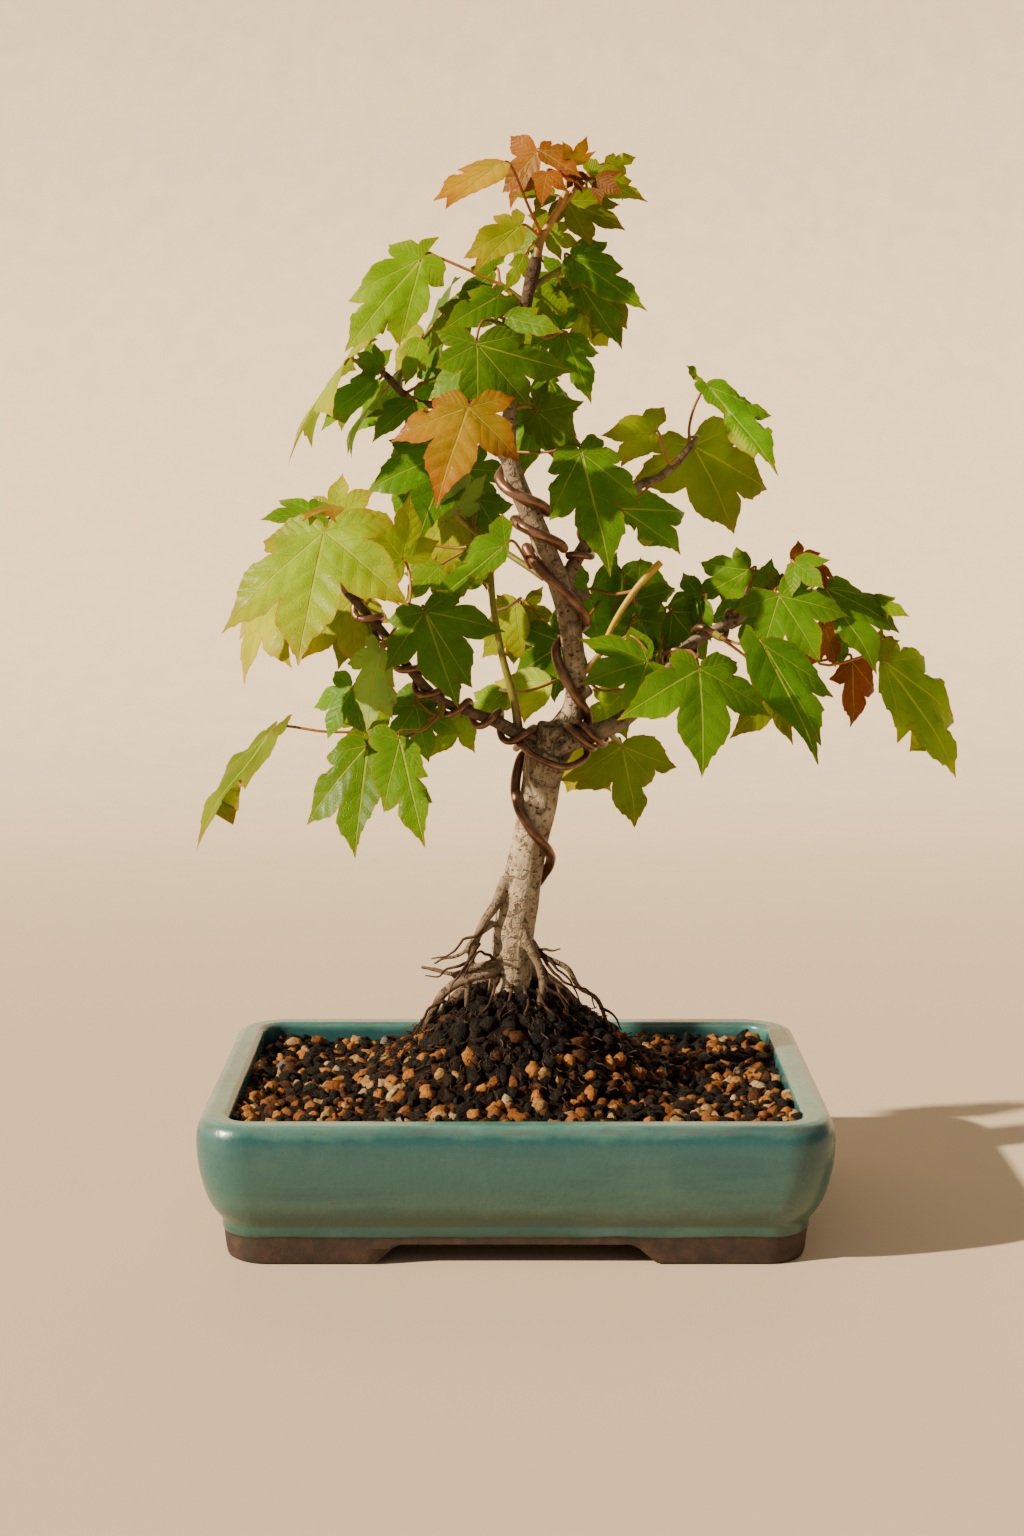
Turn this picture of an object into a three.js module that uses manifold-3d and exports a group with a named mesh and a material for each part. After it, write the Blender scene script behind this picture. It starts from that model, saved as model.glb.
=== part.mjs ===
import * as THREE from 'three';
import { mergeVertices } from 'three/addons/utils/BufferGeometryUtils.js';
import Module from 'manifold-3d';

// Sweetgum bonsai in a rectangular glazed pot. Millimetres, +Z up, the long side of the pot
// along X, the front of the tree towards -Y, the pot's feet on Z = 0. Everything is drawn round
// the middle of the pot, and the whole is moved at the end to stand round the middle of its box.

// Pot
const potLength = 250;
const potWidth = 188;
const rimHeight = 57.5;
const rimBreadth = 11.5;
const outerCorner = 22;
const innerCorner = 11;
const footHeight = 8.5;
const footInset = 10.2;
const footBreadth = 14;
const floorHeight = 14;
const wallInset = 15;
const frontGapTop = 93;
const frontGapBottom = 111;
const sideGapTop = 60;
const sideGapBottom = 78;
const drainRadius = 8;
const drainSpacing = 110;

// Plastic mesh squares over the drain holes
const meshSide = 28;
const meshThickness = 1.4;
const meshHole = 6;
const meshPitch = 8.4;

// Soil
const soilLevel = 53;
const soilFall = 0.03;
const moundTop = 92.5;
const moundFlat = 15;
const moundSlope = 0.75;
const moundFoot = 2;
const moundFootReach = 5;
const grainPitch = 16.4;
const grainRise = 1.7;
const grainDip = 1.3;
const moundRoughness = 1.6;

// Tree, wires and leaves
const clearance = 0.35;
const trunkWireRadius = 2.1;
const branchWireRadius = 1.5;
const stalkHalf = 0.75;
const stalkBend = 2;
const notchDepth = 0.035;
const leastNotch = 0.15;
const notchLimit = 0.54;
const notchOpening = 150;
const notchReach = 0.85;
const baseShare = 0.34;
const leastBase = 0.16;
const baseLimit = 0.75;
const broadAngle = 90;
const leastSpread = 0.3;
const baseTurn = 0.55;
const wideOpening = 34;
const flankBulge = 0.14;
const leastScrap = 5;
const bladeThickness = 0.75;
const bladeDroop = 0.22;
const bladeCrease = 0.035;
const ribCentre = 0.2;
const largeBlade = 47;
const bladeLean = 0.32;
const backDepth = 12;
const faceOut = 0.55;
const faceUp = 0.35;
const crownReach = 100;

// View of the reference photograph, which places what grew: its picture is 1024 by 1536 pixels,
// and a point seen at a pixel is found on the upright plane at the given depth behind the trunk.
const viewDistance = 1037;
const viewHeight = 322.5;
const viewSide = -1.5;
const viewPitch = THREE.MathUtils.degToRad(7.6);
const viewFocus = 2540;
const pictureCentre = [512, 768];

const eye = new THREE.Vector3(viewSide, -viewDistance, viewHeight);

function sightLine(px, py) {
  const across = (px - pictureCentre[0]) / viewFocus;
  const up = (pictureCentre[1] - py) / viewFocus;
  const ahead = Math.cos(viewPitch) + up * Math.sin(viewPitch);
  const rise = up * Math.cos(viewPitch) - Math.sin(viewPitch);
  return new THREE.Vector3(across, ahead, rise);
}

function seenAt([px, py, depth]) {
  const line = sightLine(px, py);
  return eye.clone().addScaledVector(line, (depth + viewDistance) / line.y);
}

// Solids
const wasm = await Module();
wasm.setup();

function solidOf(positions, faces) {
  return new wasm.Manifold(new wasm.Mesh({
    numProp: 3,
    vertProperties: new Float32Array(positions.flatMap((p) => [p.x, p.y, p.z])),
    triVerts: new Uint32Array(faces.flat()),
  }));
}

function solidOfGeometry(geometry) {
  const bare = new THREE.BufferGeometry();
  const plain = geometry.index ? geometry.toNonIndexed() : geometry;
  bare.setAttribute('position', plain.getAttribute('position').clone());
  const merged = mergeVertices(bare, 1e-4);
  return new wasm.Manifold(new wasm.Mesh({
    numProp: 3,
    vertProperties: new Float32Array(merged.getAttribute('position').array),
    triVerts: new Uint32Array(merged.index.array),
  }));
}

function joined(solids) {
  return solids.reduce((all, solid) => all.add(solid));
}

// The largest body of a cut solid, without loose scraps
function mainBody(solid) {
  const bodies = solid.decompose();
  return bodies.reduce((best, body) => (body.volume() > best.volume() ? body : best));
}

const root = new THREE.Group();

function addPart(name, solid, colour, roughness, metalness = 0) {
  const mesh = solid.getMesh();
  const geometry = new THREE.BufferGeometry();
  const count = mesh.vertProperties.length / mesh.numProp;
  const position = new THREE.BufferAttribute(new Float32Array(count * 3), 3);
  for (let i = 0; i < count; i += 1) {
    const at = i * mesh.numProp;
    position.setXYZ(i, ...mesh.vertProperties.slice(at, at + 3));
  }
  geometry.setAttribute('position', position);
  geometry.setIndex(Array.from(mesh.triVerts));
  geometry.computeVertexNormals();
  const material = new THREE.MeshStandardMaterial({ color: colour, roughness, metalness });
  const part = new THREE.Mesh(geometry, material);
  part.name = name;
  root.add(part);
}

// A solid through rings of equal point counts, closed by a fan at each end
function loft(rings) {
  const size = rings[0].length;
  const positions = rings.flat();
  const faces = [];
  for (let i = 0; i + 1 < rings.length; i += 1) {
    for (let j = 0; j < size; j += 1) {
      const next = (j + 1) % size;
      const low = i * size;
      const high = low + size;
      faces.push([low + j, low + next, high + next], [low + j, high + next, high + j]);
    }
  }
  for (const [ring, start, turn] of [[rings[0], 0, 1], [rings.at(-1), positions.length - size, 0]]) {
    const centre = new THREE.Vector3();
    ring.forEach((p) => centre.addScaledVector(p, 1 / size));
    const middle = positions.push(centre) - 1;
    for (let j = 0; j < size; j += 1) {
      const a = start + j;
      const b = start + ((j + 1) % size);
      faces.push(turn ? [middle, b, a] : [middle, a, b]);
    }
  }
  return solidOf(positions, faces);
}

// A rounded rectangle at one height, set in from the pot's largest outline
function potRing(inset, height, corner) {
  const segments = 4;
  const halfX = potLength / 2 - inset - corner;
  const halfY = potWidth / 2 - inset - corner;
  const ring = [];
  for (const [sx, sy, from] of [[1, 1, 0], [-1, 1, 90], [-1, -1, 180], [1, -1, 270]]) {
    for (let i = 0; i <= segments; i += 1) {
      const angle = THREE.MathUtils.degToRad(from + (90 * i) / segments);
      const x = sx * halfX + corner * Math.cos(angle);
      const y = sy * halfY + corner * Math.sin(angle);
      ring.push(new THREE.Vector3(x, y, height));
    }
  }
  return ring;
}

// An upright prism along X or Y, from an outline in the other direction and in height
function gapCutter(topWidth, bottomWidth, length, alongX) {
  const top = topWidth / 2;
  const bottom = bottomWidth / 2;
  const outline = new THREE.Shape();
  outline.moveTo(-bottom - 3, -1);
  outline.lineTo(bottom + 3, -1);
  outline.lineTo(bottom - 1, 1);
  outline.lineTo(top + 1.5, footHeight - 1.5);
  outline.lineTo(top - 2, footHeight);
  outline.lineTo(2 - top, footHeight);
  outline.lineTo(-top - 1.5, footHeight - 1.5);
  outline.lineTo(1 - bottom, 1);
  const geometry = new THREE.ExtrudeGeometry(outline, { depth: length, bevelEnabled: false });
  geometry.translate(0, 0, -length / 2);
  geometry.rotateX(Math.PI / 2);
  if (alongX) geometry.rotateZ(Math.PI / 2);
  return solidOfGeometry(geometry);
}

// Pot: foot band, neck, belly, lip and inside, in one piece
function potSolid() {
  const outer = [
    [footInset + 2.6, 0],
    [footInset + 0.7, 2.4],
    [footInset, 8],
    [footInset - 0.3, 11.2],
    [footInset - 0.8, 12.2],
    [footInset - 1, 15.6],
    [footInset - 1.6, 16.8],
    [6.9, 19.2],
    [4.6, 23.2],
    [2.6, 29],
    [1, 36],
    [0, 43.5],
    [0.1, 50],
    [1, 54.2],
    [2.4, 56.6],
    [4.6, rimHeight],
  ];
  const inner = [
    [rimBreadth - 0.6, rimHeight],
    [rimBreadth + 1, rimHeight - 1],
    [rimBreadth + 1.6, rimHeight - 4],
    [wallInset, floorHeight + 4],
    [wallInset + 3, floorHeight],
  ];
  const rings = [
    ...outer.map(([inset, height]) => potRing(inset, height, outerCorner - inset * 0.5)),
    ...inner.map(([inset, height]) => potRing(inset, height, innerCorner)),
  ];
  const recessInset = footInset + footBreadth;
  const recess = loft([potRing(recessInset, -1, 8), potRing(recessInset, footHeight, 8)]);
  let pot = loft(rings).subtract(recess);
  pot = pot.subtract(gapCutter(frontGapTop, frontGapBottom, potWidth + 10, false));
  pot = pot.subtract(gapCutter(sideGapTop, sideGapBottom, potLength + 10, true));
  for (const side of [-1, 1]) {
    const drain = new THREE.CylinderGeometry(drainRadius, drainRadius, 20, 14);
    drain.rotateX(Math.PI / 2);
    drain.translate((side * drainSpacing) / 2, 0, floorHeight - 2);
    pot = pot.subtract(solidOfGeometry(drain));
  }
  return pot;
}

// Plastic mesh square over one drain hole
function drainMesh(side, extra = 0) {
  const breadth = meshSide + 2 * extra;
  const plate = new THREE.BoxGeometry(breadth, breadth, meshThickness + 2 * extra);
  let solid = solidOfGeometry(plate);
  if (extra === 0) {
    for (let i = -1; i <= 1; i += 1) {
      for (let j = -1; j <= 1; j += 1) {
        const hole = new THREE.BoxGeometry(meshHole, meshHole, meshThickness * 3);
        hole.translate(i * meshPitch, j * meshPitch, 0);
        solid = solid.subtract(solidOfGeometry(hole));
      }
    }
  }
  const height = floorHeight + clearance + meshThickness / 2;
  return solid.translate([(side * drainSpacing) / 2, 0, height]);
}

// Even random numbers from 0 to 1, the same on every run
function randomFrom(seed) {
  let state = seed;
  return () => {
    state = (Math.imul(state, 1664525) + 1013904223) >>> 0;
    return state / 4294967296;
  };
}

// Height of the soil's surface: level ground that falls to the back, and a mound at the trunk
function soilHeight(x, y) {
  const level = soilLevel - y * soilFall;
  const mound = moundTop - moundSlope * Math.max(0, Math.hypot(x, y) - moundFlat);
  return Math.max(level, mound) + moundFoot * Math.exp(-Math.abs(mound - level) / moundFootReach);
}

// How much rougher the soil is there than on the level
function soilRoughness(x, y) {
  const above = soilHeight(x, y) - soilLevel;
  return 1 + moundRoughness * THREE.MathUtils.clamp(above / (moundTop - soilLevel), 0, 1);
}

// Soil: fills the pot to its wall, with a surface of six-sided grains on a jittered lattice.
// The sheet of grains has a flat copy far below, and the pot's inside cuts both to shape.
function soilSolid(hollows) {
  const random = randomFrom(7);
  const rowPitch = grainPitch * Math.sqrt(0.75);
  const reach = grainPitch / Math.sqrt(3);
  const across = Math.ceil(potLength / grainPitch / 2);
  const rows = Math.ceil(potWidth / rowPitch / 2);
  const positions = [];
  const faces = [];
  const corners = new Map();
  const spread = () => random() - 0.5;
  function cornerAt(x, y) {
    const key = `${Math.round(x * 4)},${Math.round(y * 4)}`;
    if (!corners.has(key)) {
      const px = x + spread() * 2.4;
      const py = y + spread() * 2.4;
      const dip = grainDip * (0.4 + random()) * soilRoughness(px, py);
      corners.set(key, positions.push(new THREE.Vector3(px, py, soilHeight(px, py) - dip)) - 1);
    }
    return corners.get(key);
  }
  for (let row = -rows; row <= rows; row += 1) {
    for (let column = -across; column <= across; column += 1) {
      const x = (column + (row % 2 === 0 ? 0 : 0.5)) * grainPitch;
      const y = row * rowPitch;
      const px = x + spread() * 2;
      const py = y + spread() * 2;
      const rise = grainRise * (0.3 + random()) * soilRoughness(px, py);
      const top = positions.push(new THREE.Vector3(px, py, soilHeight(px, py) + rise)) - 1;
      const ring = [];
      for (let side = 0; side < 6; side += 1) {
        const angle = THREE.MathUtils.degToRad(30 + 60 * side);
        ring.push(cornerAt(x + reach * Math.cos(angle), y + reach * Math.sin(angle)));
      }
      ring.forEach((p, n) => faces.push([top, p, ring[(n + 1) % 6]]));
    }
  }
  const count = positions.length;
  const edges = new Map();
  for (const [a, b, c] of faces) {
    for (const [from, to] of [[a, b], [b, c], [c, a]]) edges.set(`${from},${to}`, [from, to]);
  }
  for (let i = 0; i < count; i += 1) {
    positions.push(new THREE.Vector3(positions[i].x, positions[i].y, 0));
  }
  const lower = faces.map(([a, b, c]) => [a + count, c + count, b + count]);
  const skirt = [];
  for (const [from, to] of edges.values()) {
    if (edges.has(`${to},${from}`)) continue;
    skirt.push([from, from + count, to + count], [from, to + count, to]);
  }
  const block = solidOf(positions, [...faces, ...lower, ...skirt]);
  const gap = clearance;
  const inside = loft([
    potRing(wallInset + 3 + gap, floorHeight + gap, innerCorner),
    potRing(wallInset + gap, floorHeight + 4 + gap, innerCorner),
    potRing(rimBreadth + 1.6 + gap, rimHeight - 4, innerCorner),
    potRing(rimBreadth + 1.6 + gap, moundTop + 20, innerCorner),
  ]);
  return mainBody(block.intersect(inside).subtract(joined(hollows)));
}

// A limb is a round rod through points seen in the photograph: each row of its route holds the
// pixel, the depth behind the trunk and the radius.
function limb(route, steps, sides) {
  const curve = new THREE.CatmullRomCurve3(route.map(seenAt), false, 'centripetal');
  curve.arcLengthDivisions = 400;
  return { curve, steps, sides, radii: route.map((row) => row[3]) };
}

function radiusAlong({ curve, radii }, u) {
  const along = curve.getUtoTmapping(u) * (radii.length - 1);
  const low = Math.min(Math.floor(along), radii.length - 2);
  return THREE.MathUtils.lerp(radii[low], radii[low + 1], along - low);
}

function limbSolid(rod, extra = 0) {
  const { curve, steps, sides } = rod;
  const frames = curve.computeFrenetFrames(steps, false);
  const rings = [];
  for (let i = 0; i <= steps; i += 1) {
    const centre = curve.getPointAt(i / steps);
    const radius = radiusAlong(rod, i / steps) + extra;
    const ring = [];
    for (let j = 0; j < sides; j += 1) {
      const angle = (2 * Math.PI * j) / sides;
      const arm = frames.normals[i].clone().multiplyScalar(radius * Math.cos(angle));
      arm.addScaledVector(frames.binormals[i], radius * Math.sin(angle));
      ring.push(centre.clone().add(arm));
    }
    rings.push(ring);
  }
  return loft(rings);
}

// Points of a wire wound round a limb: each key holds the fraction of the limb's length and the
// angle round it in degrees, 0 at the front, 90 at the right and falling as the wire climbs.
function woundPoints(rod, keys, wireRadius, stepDegrees = 30) {
  const points = [];
  const front = new THREE.Vector3(0, -1, 0);
  for (let k = 0; k + 1 < keys.length; k += 1) {
    const [[u0, a0], [u1, a1]] = [keys[k], keys[k + 1]];
    const count = Math.max(1, Math.ceil(Math.abs(a1 - a0) / stepDegrees));
    for (let i = k === 0 ? 0 : 1; i <= count; i += 1) {
      const u = THREE.MathUtils.lerp(u0, u1, i / count);
      const angle = THREE.MathUtils.degToRad(THREE.MathUtils.lerp(a0, a1, i / count));
      const tangent = rod.curve.getTangentAt(u);
      const forward = front.clone().addScaledVector(tangent, -front.dot(tangent)).normalize();
      const right = tangent.clone().cross(forward);
      const reach = radiusAlong(rod, u) + wireRadius + clearance * 2;
      const point = rod.curve.getPointAt(u);
      point.addScaledVector(forward, reach * Math.cos(angle));
      point.addScaledVector(right, reach * Math.sin(angle));
      points.push(point);
    }
  }
  return points;
}

function wireSolid(points, radius, sides, extra = 0) {
  const curve = new THREE.CatmullRomCurve3(points, false, 'centripetal');
  const steps = points.length - 1;
  return limbSolid({ curve, steps, sides, radii: [radius, radius] }, extra);
}

// Fraction of a limb's length at which it is seen at a row of the picture
function fractionAt(rod, row) {
  let [low, high] = [0, 1];
  for (let i = 0; i < 30; i += 1) {
    const middle = (low + high) / 2;
    const away = rod.curve.getPointAt(middle).sub(eye);
    const ahead = away.y * Math.cos(viewPitch) - away.z * Math.sin(viewPitch);
    const up = away.y * Math.sin(viewPitch) + away.z * Math.cos(viewPitch);
    const seenRow = pictureCentre[1] - (viewFocus * up) / ahead;
    if (seenRow > row) low = middle;
    else high = middle;
  }
  return low;
}

// Tree: trunk and leader, cut stubs, branches and roots, as rows of pixel, depth and radius
const spineRoute = [
  [509, 1034, 1, 12], [509, 1004, 0, 10.4], [510, 985, 0, 8.9], [514, 930, -1, 8.7],
  [519, 900, -1, 8.4], [527, 856, -1, 7.5], [536, 815, -1, 7.6], [541, 785, 0, 8.1],
  [547, 757, 0, 9.2], [560, 735, 2, 7.4], [573, 712, 3, 4.7], [576, 690, 3, 4.4],
  [574, 660, 2, 4.6], [568, 615, 0, 4.6], [556, 575, -1, 4.5], [545, 548, -2, 4.4],
  [531, 515, -2, 4.4], [519, 488, -2, 4], [509, 455, -1, 3.6], [508, 430, 0, 3.3],
  [512, 400, 1, 3.1], [518, 355, 2, 2.9], [523, 320, 2, 2.7], [529, 290, 2, 2.6],
  [534, 268, 2, 3], [536, 257, 2, 2.2],
];
const leftBranchRoute = [
  [546, 752, 0, 4.8], [530, 741, -3, 4], [516, 733, -4, 3.2], [497, 722, -6, 2.6],
  [470, 712, -9, 2.2], [440, 700, -12, 2.1], [412, 672, -16, 2], [385, 635, -20, 1.9],
  [365, 612, -24, 1.9], [345, 590, -28, 1.8],
];
const rightBranchRoute = [
  [551, 753, -3, 4.6], [566, 744, -7, 4.3], [585, 736, -7, 4], [616, 724, -4, 3.7],
  [645, 700, 4, 3], [683, 651, 11, 2.7], [706, 635, 13, 2.5], [740, 617, 13, 2.3],
  [756, 602, 12, 2.1], [785, 575, 10, 1.8],
];
const upperRightRoute = [
  [563, 592, 0, 3.2], [572, 568, 3, 3], [585, 545, 6, 2.7], [600, 520, 8, 2.5],
  [638, 486, 11, 2.1], [660, 477, 13, 1.9], [676, 463, 15, 1.8], [693, 443, 17, 1.6],
];
const upperLeftRoute = [
  [512, 404, 1, 2.4], [480, 404, 6, 2.1], [445, 404, 9, 1.9], [420, 404, 10, 1.8],
  [405, 395, 10, 1.7], [385, 374, 8, 1.6],
];
const stubRoutes = [
  [[547, 762, 0, 8.6], [552, 742, -1, 8.2], [553, 724, -2, 6.6]],
  [[574, 694, 2, 3.4], [586, 690, 1, 3.2], [590, 687, 1, 2.4]],
  [[510, 462, -1, 3], [500, 450, -3, 2.8], [492, 444, -4, 2.2]],
  [[566, 590, 1, 3], [583, 596, 2, 2.6], [588, 592, 2, 1.6]],
];
const rootRoutes = [
  [[507, 878, -4, 3.2], [497, 902, -8, 2.6], [483, 924, -9, 2.1], [474, 947, -10, 1.9],
    [470, 966, -9, 1.8], [468, 992, -8, 1.7], [467, 1008, -6, 1.4]],
  [[506, 955, -5, 2.2], [493, 962, -9, 1.7], [472, 968, -10, 1.5], [453, 974, -8, 1.3],
    [436, 970, -4, 1.2], [421, 967, 0, 1]],
  [[503, 966, -4, 4], [489, 972, -7, 3.2], [466, 978, -8, 2.6], [443, 994, -7, 2.2],
    [434, 1010, -5, 2], [426, 1028, -3, 1.8], [423, 1044, -2, 1.6]],
  [[494, 922, -5, 2], [474, 939, -9, 1.3], [464, 952, -9, 1.1], [453, 957, -7, 1],
    [444, 958, -5, 1], [434, 964, -2, 0.8]],
  [[522, 930, -6, 3], [529, 947, -10, 2.4], [539, 966, -12, 2.1], [543, 987, -14, 1.9],
    [537, 1010, -17, 1.7], [528, 1036, -20, 1.5]],
  [[532, 944, -3, 2.4], [543, 956, -7, 1.6], [567, 968, -9, 1.4], [579, 987, -8, 1.3],
    [596, 998, -5, 1.2], [607, 1024, -2, 1.2], [611, 1040, -1, 1]],
  [[513, 962, 2, 5], [540, 976, 9, 3.8], [566, 994, 13, 2.8], [588, 1018, 15, 2.2]],
  [[508, 962, 3, 5], [488, 976, 11, 3.6], [462, 992, 17, 2.8], [440, 1014, 20, 2.2]],
  [[511, 966, 4, 5], [516, 972, 14, 3.8], [520, 988, 24, 2.8], [524, 1006, 33, 2.2]],
];

const spine = limb(spineRoute, 30, 8);
const leftBranch = limb(leftBranchRoute, 12, 6);
const rightBranch = limb(rightBranchRoute, 12, 6);
const upperRight = limb(upperRightRoute, 9, 6);
const upperLeft = limb(upperLeftRoute, 7, 6);
const stubs = stubRoutes.map((route) => limb(route, 2, 6));
const roots = rootRoutes.map((route) => limb(route, 4, 5));
const wood = [spine, leftBranch, rightBranch, upperRight, upperLeft, ...stubs, ...roots];
const tree = joined(wood.map((rod) => limbSolid(rod)));
const treeSpace = joined(wood.map((rod) => limbSolid(rod, clearance)));

// Wires, wound from below: rows of picture row or fraction of the limb, and angle
const trunkTurns = [
  [1012, 180], [950, 185], [900, 165], [873, 125], [856, 90], [842, 45], [829, 0],
  [812, -45], [787, -90], [765, -120], [745, -180], [732, -240], [718, -270], [705, -330],
  [695, -360], [672, -405], [650, -450], [640, -520], [630, -590], [625, -630], [608, -675],
  [587, -720], [565, -765], [541, -810], [547, -900], [555, -990], [545, -1035], [534, -1080],
  [522, -1125], [513, -1170], [516, -1260], [519, -1350], [508, -1395], [497, -1440],
  [486, -1485], [474, -1530], [466, -1590], [457, -1640],
];
const trunkKeys = trunkTurns.map(([row, angle]) => [fractionAt(spine, row), angle]);
const trunkWirePoints = woundPoints(spine, trunkKeys, trunkWireRadius, 60);

const rightKeys = [
  [0.2, 850], [0.185, 810], [0.15, 720], [0.125, 630], [0.14, 540], [0.15, 450],
  [0.115, 360], [0.09, 270], [0.13, 190],
];
const crotchRoute = [
  [587, 754, -1], [581, 761, -5], [573, 765, -9], [562, 767, -12.5], [546, 762, -13.5],
  [531, 754, -12], [522, 746, -10],
];
const leftTurns = 6;
const leftKeys = [
  [0.11, -90], [0.095, -180], [0.085, -270], [0.125, -360], [0.165, -450], [0.2, -540],
  [0.23, -630], [0.96, -630 - 360 * leftTurns],
];
const branchWirePoints = [
  ...woundPoints(rightBranch, rightKeys, branchWireRadius, 60),
  ...crotchRoute.map(seenAt),
  ...woundPoints(leftBranch, leftKeys, branchWireRadius, 72),
];
const rightWirePoints = woundPoints(rightBranch, [[0.36, 60], [0.8, 1400]], branchWireRadius, 72);
const upperWirePoints = woundPoints(upperRight, [[0.16, -60], [0.6, 900]], branchWireRadius, 72);

const wires = [
  ['trunk_wire', trunkWirePoints, trunkWireRadius, 5],
  ['branch_wire', branchWirePoints, branchWireRadius, 4],
  ['right_branch_wire', rightWirePoints, branchWireRadius, 4],
  ['upper_branch_wire', upperWirePoints, branchWireRadius, 4],
];

// Leaves. A blade lies in a plane through its joint and the tip of its middle lobe. It leans out
// from the trunk, faces the viewer, the side it grows on and the light, and is turned about its
// middle line by the roll. Each row of a spray's leaves holds the stalk's points, the joint, the
// middle tip, the tips of the other lobes, the roll and whether it is a small leaf of three lobes.
// Where no other lobes are seen, the plain ones stand at these angles from the middle lobe, with
// lengths as shares of it.
const plainLobes = [[46, 0.9], [103, 0.6], [-46, 0.9], [-103, 0.6]];
const smallLobes = [[50, 0.8], [-50, 0.8]];

function bladePlane(joint, tip, roll) {
  const origin = seenAt(joint);
  const pixels = Math.hypot(tip[0] - joint[0], tip[1] - joint[1]);
  const outward = joint[2] > backDepth ? 1 : -1;
  const lean = outward * bladeLean * pixels * (viewDistance / viewFocus);
  const along = seenAt([tip[0], tip[1], tip[2] + lean]).sub(origin);
  const length = along.length();
  along.normalize();
  const normal = eye.clone().sub(origin).normalize();
  normal.x += faceOut * THREE.MathUtils.clamp(origin.x / crownReach, -1, 1);
  normal.z += faceUp;
  normal.addScaledVector(along, -normal.dot(along)).normalize();
  normal.applyAxisAngle(along, THREE.MathUtils.degToRad(roll));
  return { origin, along, side: normal.clone().cross(along), normal, length };
}

// Angle and reach of a lobe's tip in its blade's plane, from the pixel where it is seen
function lobeInPlane(plane, [px, py]) {
  const line = sightLine(px, py);
  const away = plane.origin.clone().sub(eye).dot(plane.normal) / line.dot(plane.normal);
  const reach = eye.clone().addScaledVector(line, away).sub(plane.origin);
  const [x, y] = [reach.dot(plane.along), reach.dot(plane.side)];
  return [THREE.MathUtils.radToDeg(Math.atan2(y, x)), Math.hypot(x, y)];
}

function polar(angle, reach) {
  const turn = THREE.MathUtils.degToRad(angle);
  return new THREE.Vector2(reach * Math.cos(turn), reach * Math.sin(turn));
}

// Outline of a blade in its plane: a tip and two bulging sides for each lobe, a notch between
// lobes and a heart-shaped base. Each point also says how far it is lifted into a crease.
function bladeOutline(plane, lobes, small) {
  const plain = (small ? smallLobes : plainLobes).map(([a, r]) => [a, r * plane.length]);
  const bulging = plane.length > largeBlade;
  const seen = lobes.map((pixel) => lobeInPlane(plane, pixel));
  const tips = [...(lobes.length ? seen : plain), [0, plane.length]];
  tips.sort((a, b) => a[0] - b[0]);
  const outline = [];
  const add = (point, crease) => outline.push({ point, crease: crease * plane.length });
  function flank(tip, inner, side) {
    const run = tip.clone().sub(inner);
    const bulge = tip.clone().add(inner).multiplyScalar(0.5);
    bulge.add(new THREE.Vector2(-run.y, run.x).multiplyScalar(flankBulge * side));
    add(bulge, bladeCrease * 0.6);
  }
  const [first, last] = [tips[0], tips.at(-1)];
  const baseReach = ([angle, reach]) => {
    const spread = Math.max(leastSpread, Math.min(1, Math.abs(angle) / broadAngle));
    return spread * Math.max(baseShare * reach, Math.min(leastBase * plane.length, baseLimit * reach));
  };
  const firstBase = polar(first[0] - baseTurn * (180 + first[0]), baseReach(first));
  const lastBase = polar(last[0] + baseTurn * (180 - last[0]), baseReach(last));
  add(new THREE.Vector2(-notchDepth * plane.length, -stalkHalf), 0);
  add(firstBase, bladeCrease);
  tips.forEach(([angle, reach], i) => {
    const tip = polar(angle, reach);
    if (i === 0 && bulging) flank(tip, firstBase, -1);
    add(tip, 0);
    if (i + 1 === tips.length) {
      if (bulging) flank(tip, lastBase, 1);
      return;
    }
    const [nextAngle, nextReach] = tips[i + 1];
    const open = nextAngle - angle;
    const depth = 1 - Math.min(notchLimit, leastNotch + open / notchOpening);
    const nearer = Math.min(reach, nextReach);
    const inner = Math.min(Math.sqrt(reach * nextReach) * depth, notchReach * nearer);
    const notch = polar((angle + nextAngle) / 2, inner);
    const wide = open > wideOpening && bulging;
    if (wide) flank(tip, notch, 1);
    add(notch, bladeCrease);
    if (wide) flank(polar(nextAngle, nextReach), notch, -1);
  });
  add(lastBase, bladeCrease);
  add(new THREE.Vector2(-notchDepth * plane.length, stalkHalf), 0);
  return outline;
}

// Rings of a leaf stalk from its blade to its stem: four corners, turned with the stalk's course
function stalkRings({ origin, along, side, normal, length }, stalk) {
  const bend = origin.clone()
    .addScaledVector(along, -notchDepth * length - stalkBend)
    .addScaledVector(normal, -stalkBend * 0.5);
  const course = [origin, bend, ...stalk.map(seenAt).reverse()];
  let heading = along.clone().negate();
  const arms = [side.clone(), normal.clone()];
  const rings = [];
  for (let i = 1; i < course.length; i += 1) {
    const arriving = course[i].clone().sub(course[i - 1]).normalize();
    const leaving = course[Math.min(i + 1, course.length - 1)].clone().sub(course[i]).normalize();
    const next = arriving.add(leaving).normalize();
    const turn = new THREE.Quaternion().setFromUnitVectors(heading, next);
    arms.forEach((arm) => arm.applyQuaternion(turn));
    heading = next;
    rings.push([[1, 1], [-1, 1], [-1, -1], [1, -1]].map(([a, b]) => course[i].clone()
      .addScaledVector(arms[0], a * stalkHalf)
      .addScaledVector(arms[1], b * stalkHalf)));
  }
  return rings;
}

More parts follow.
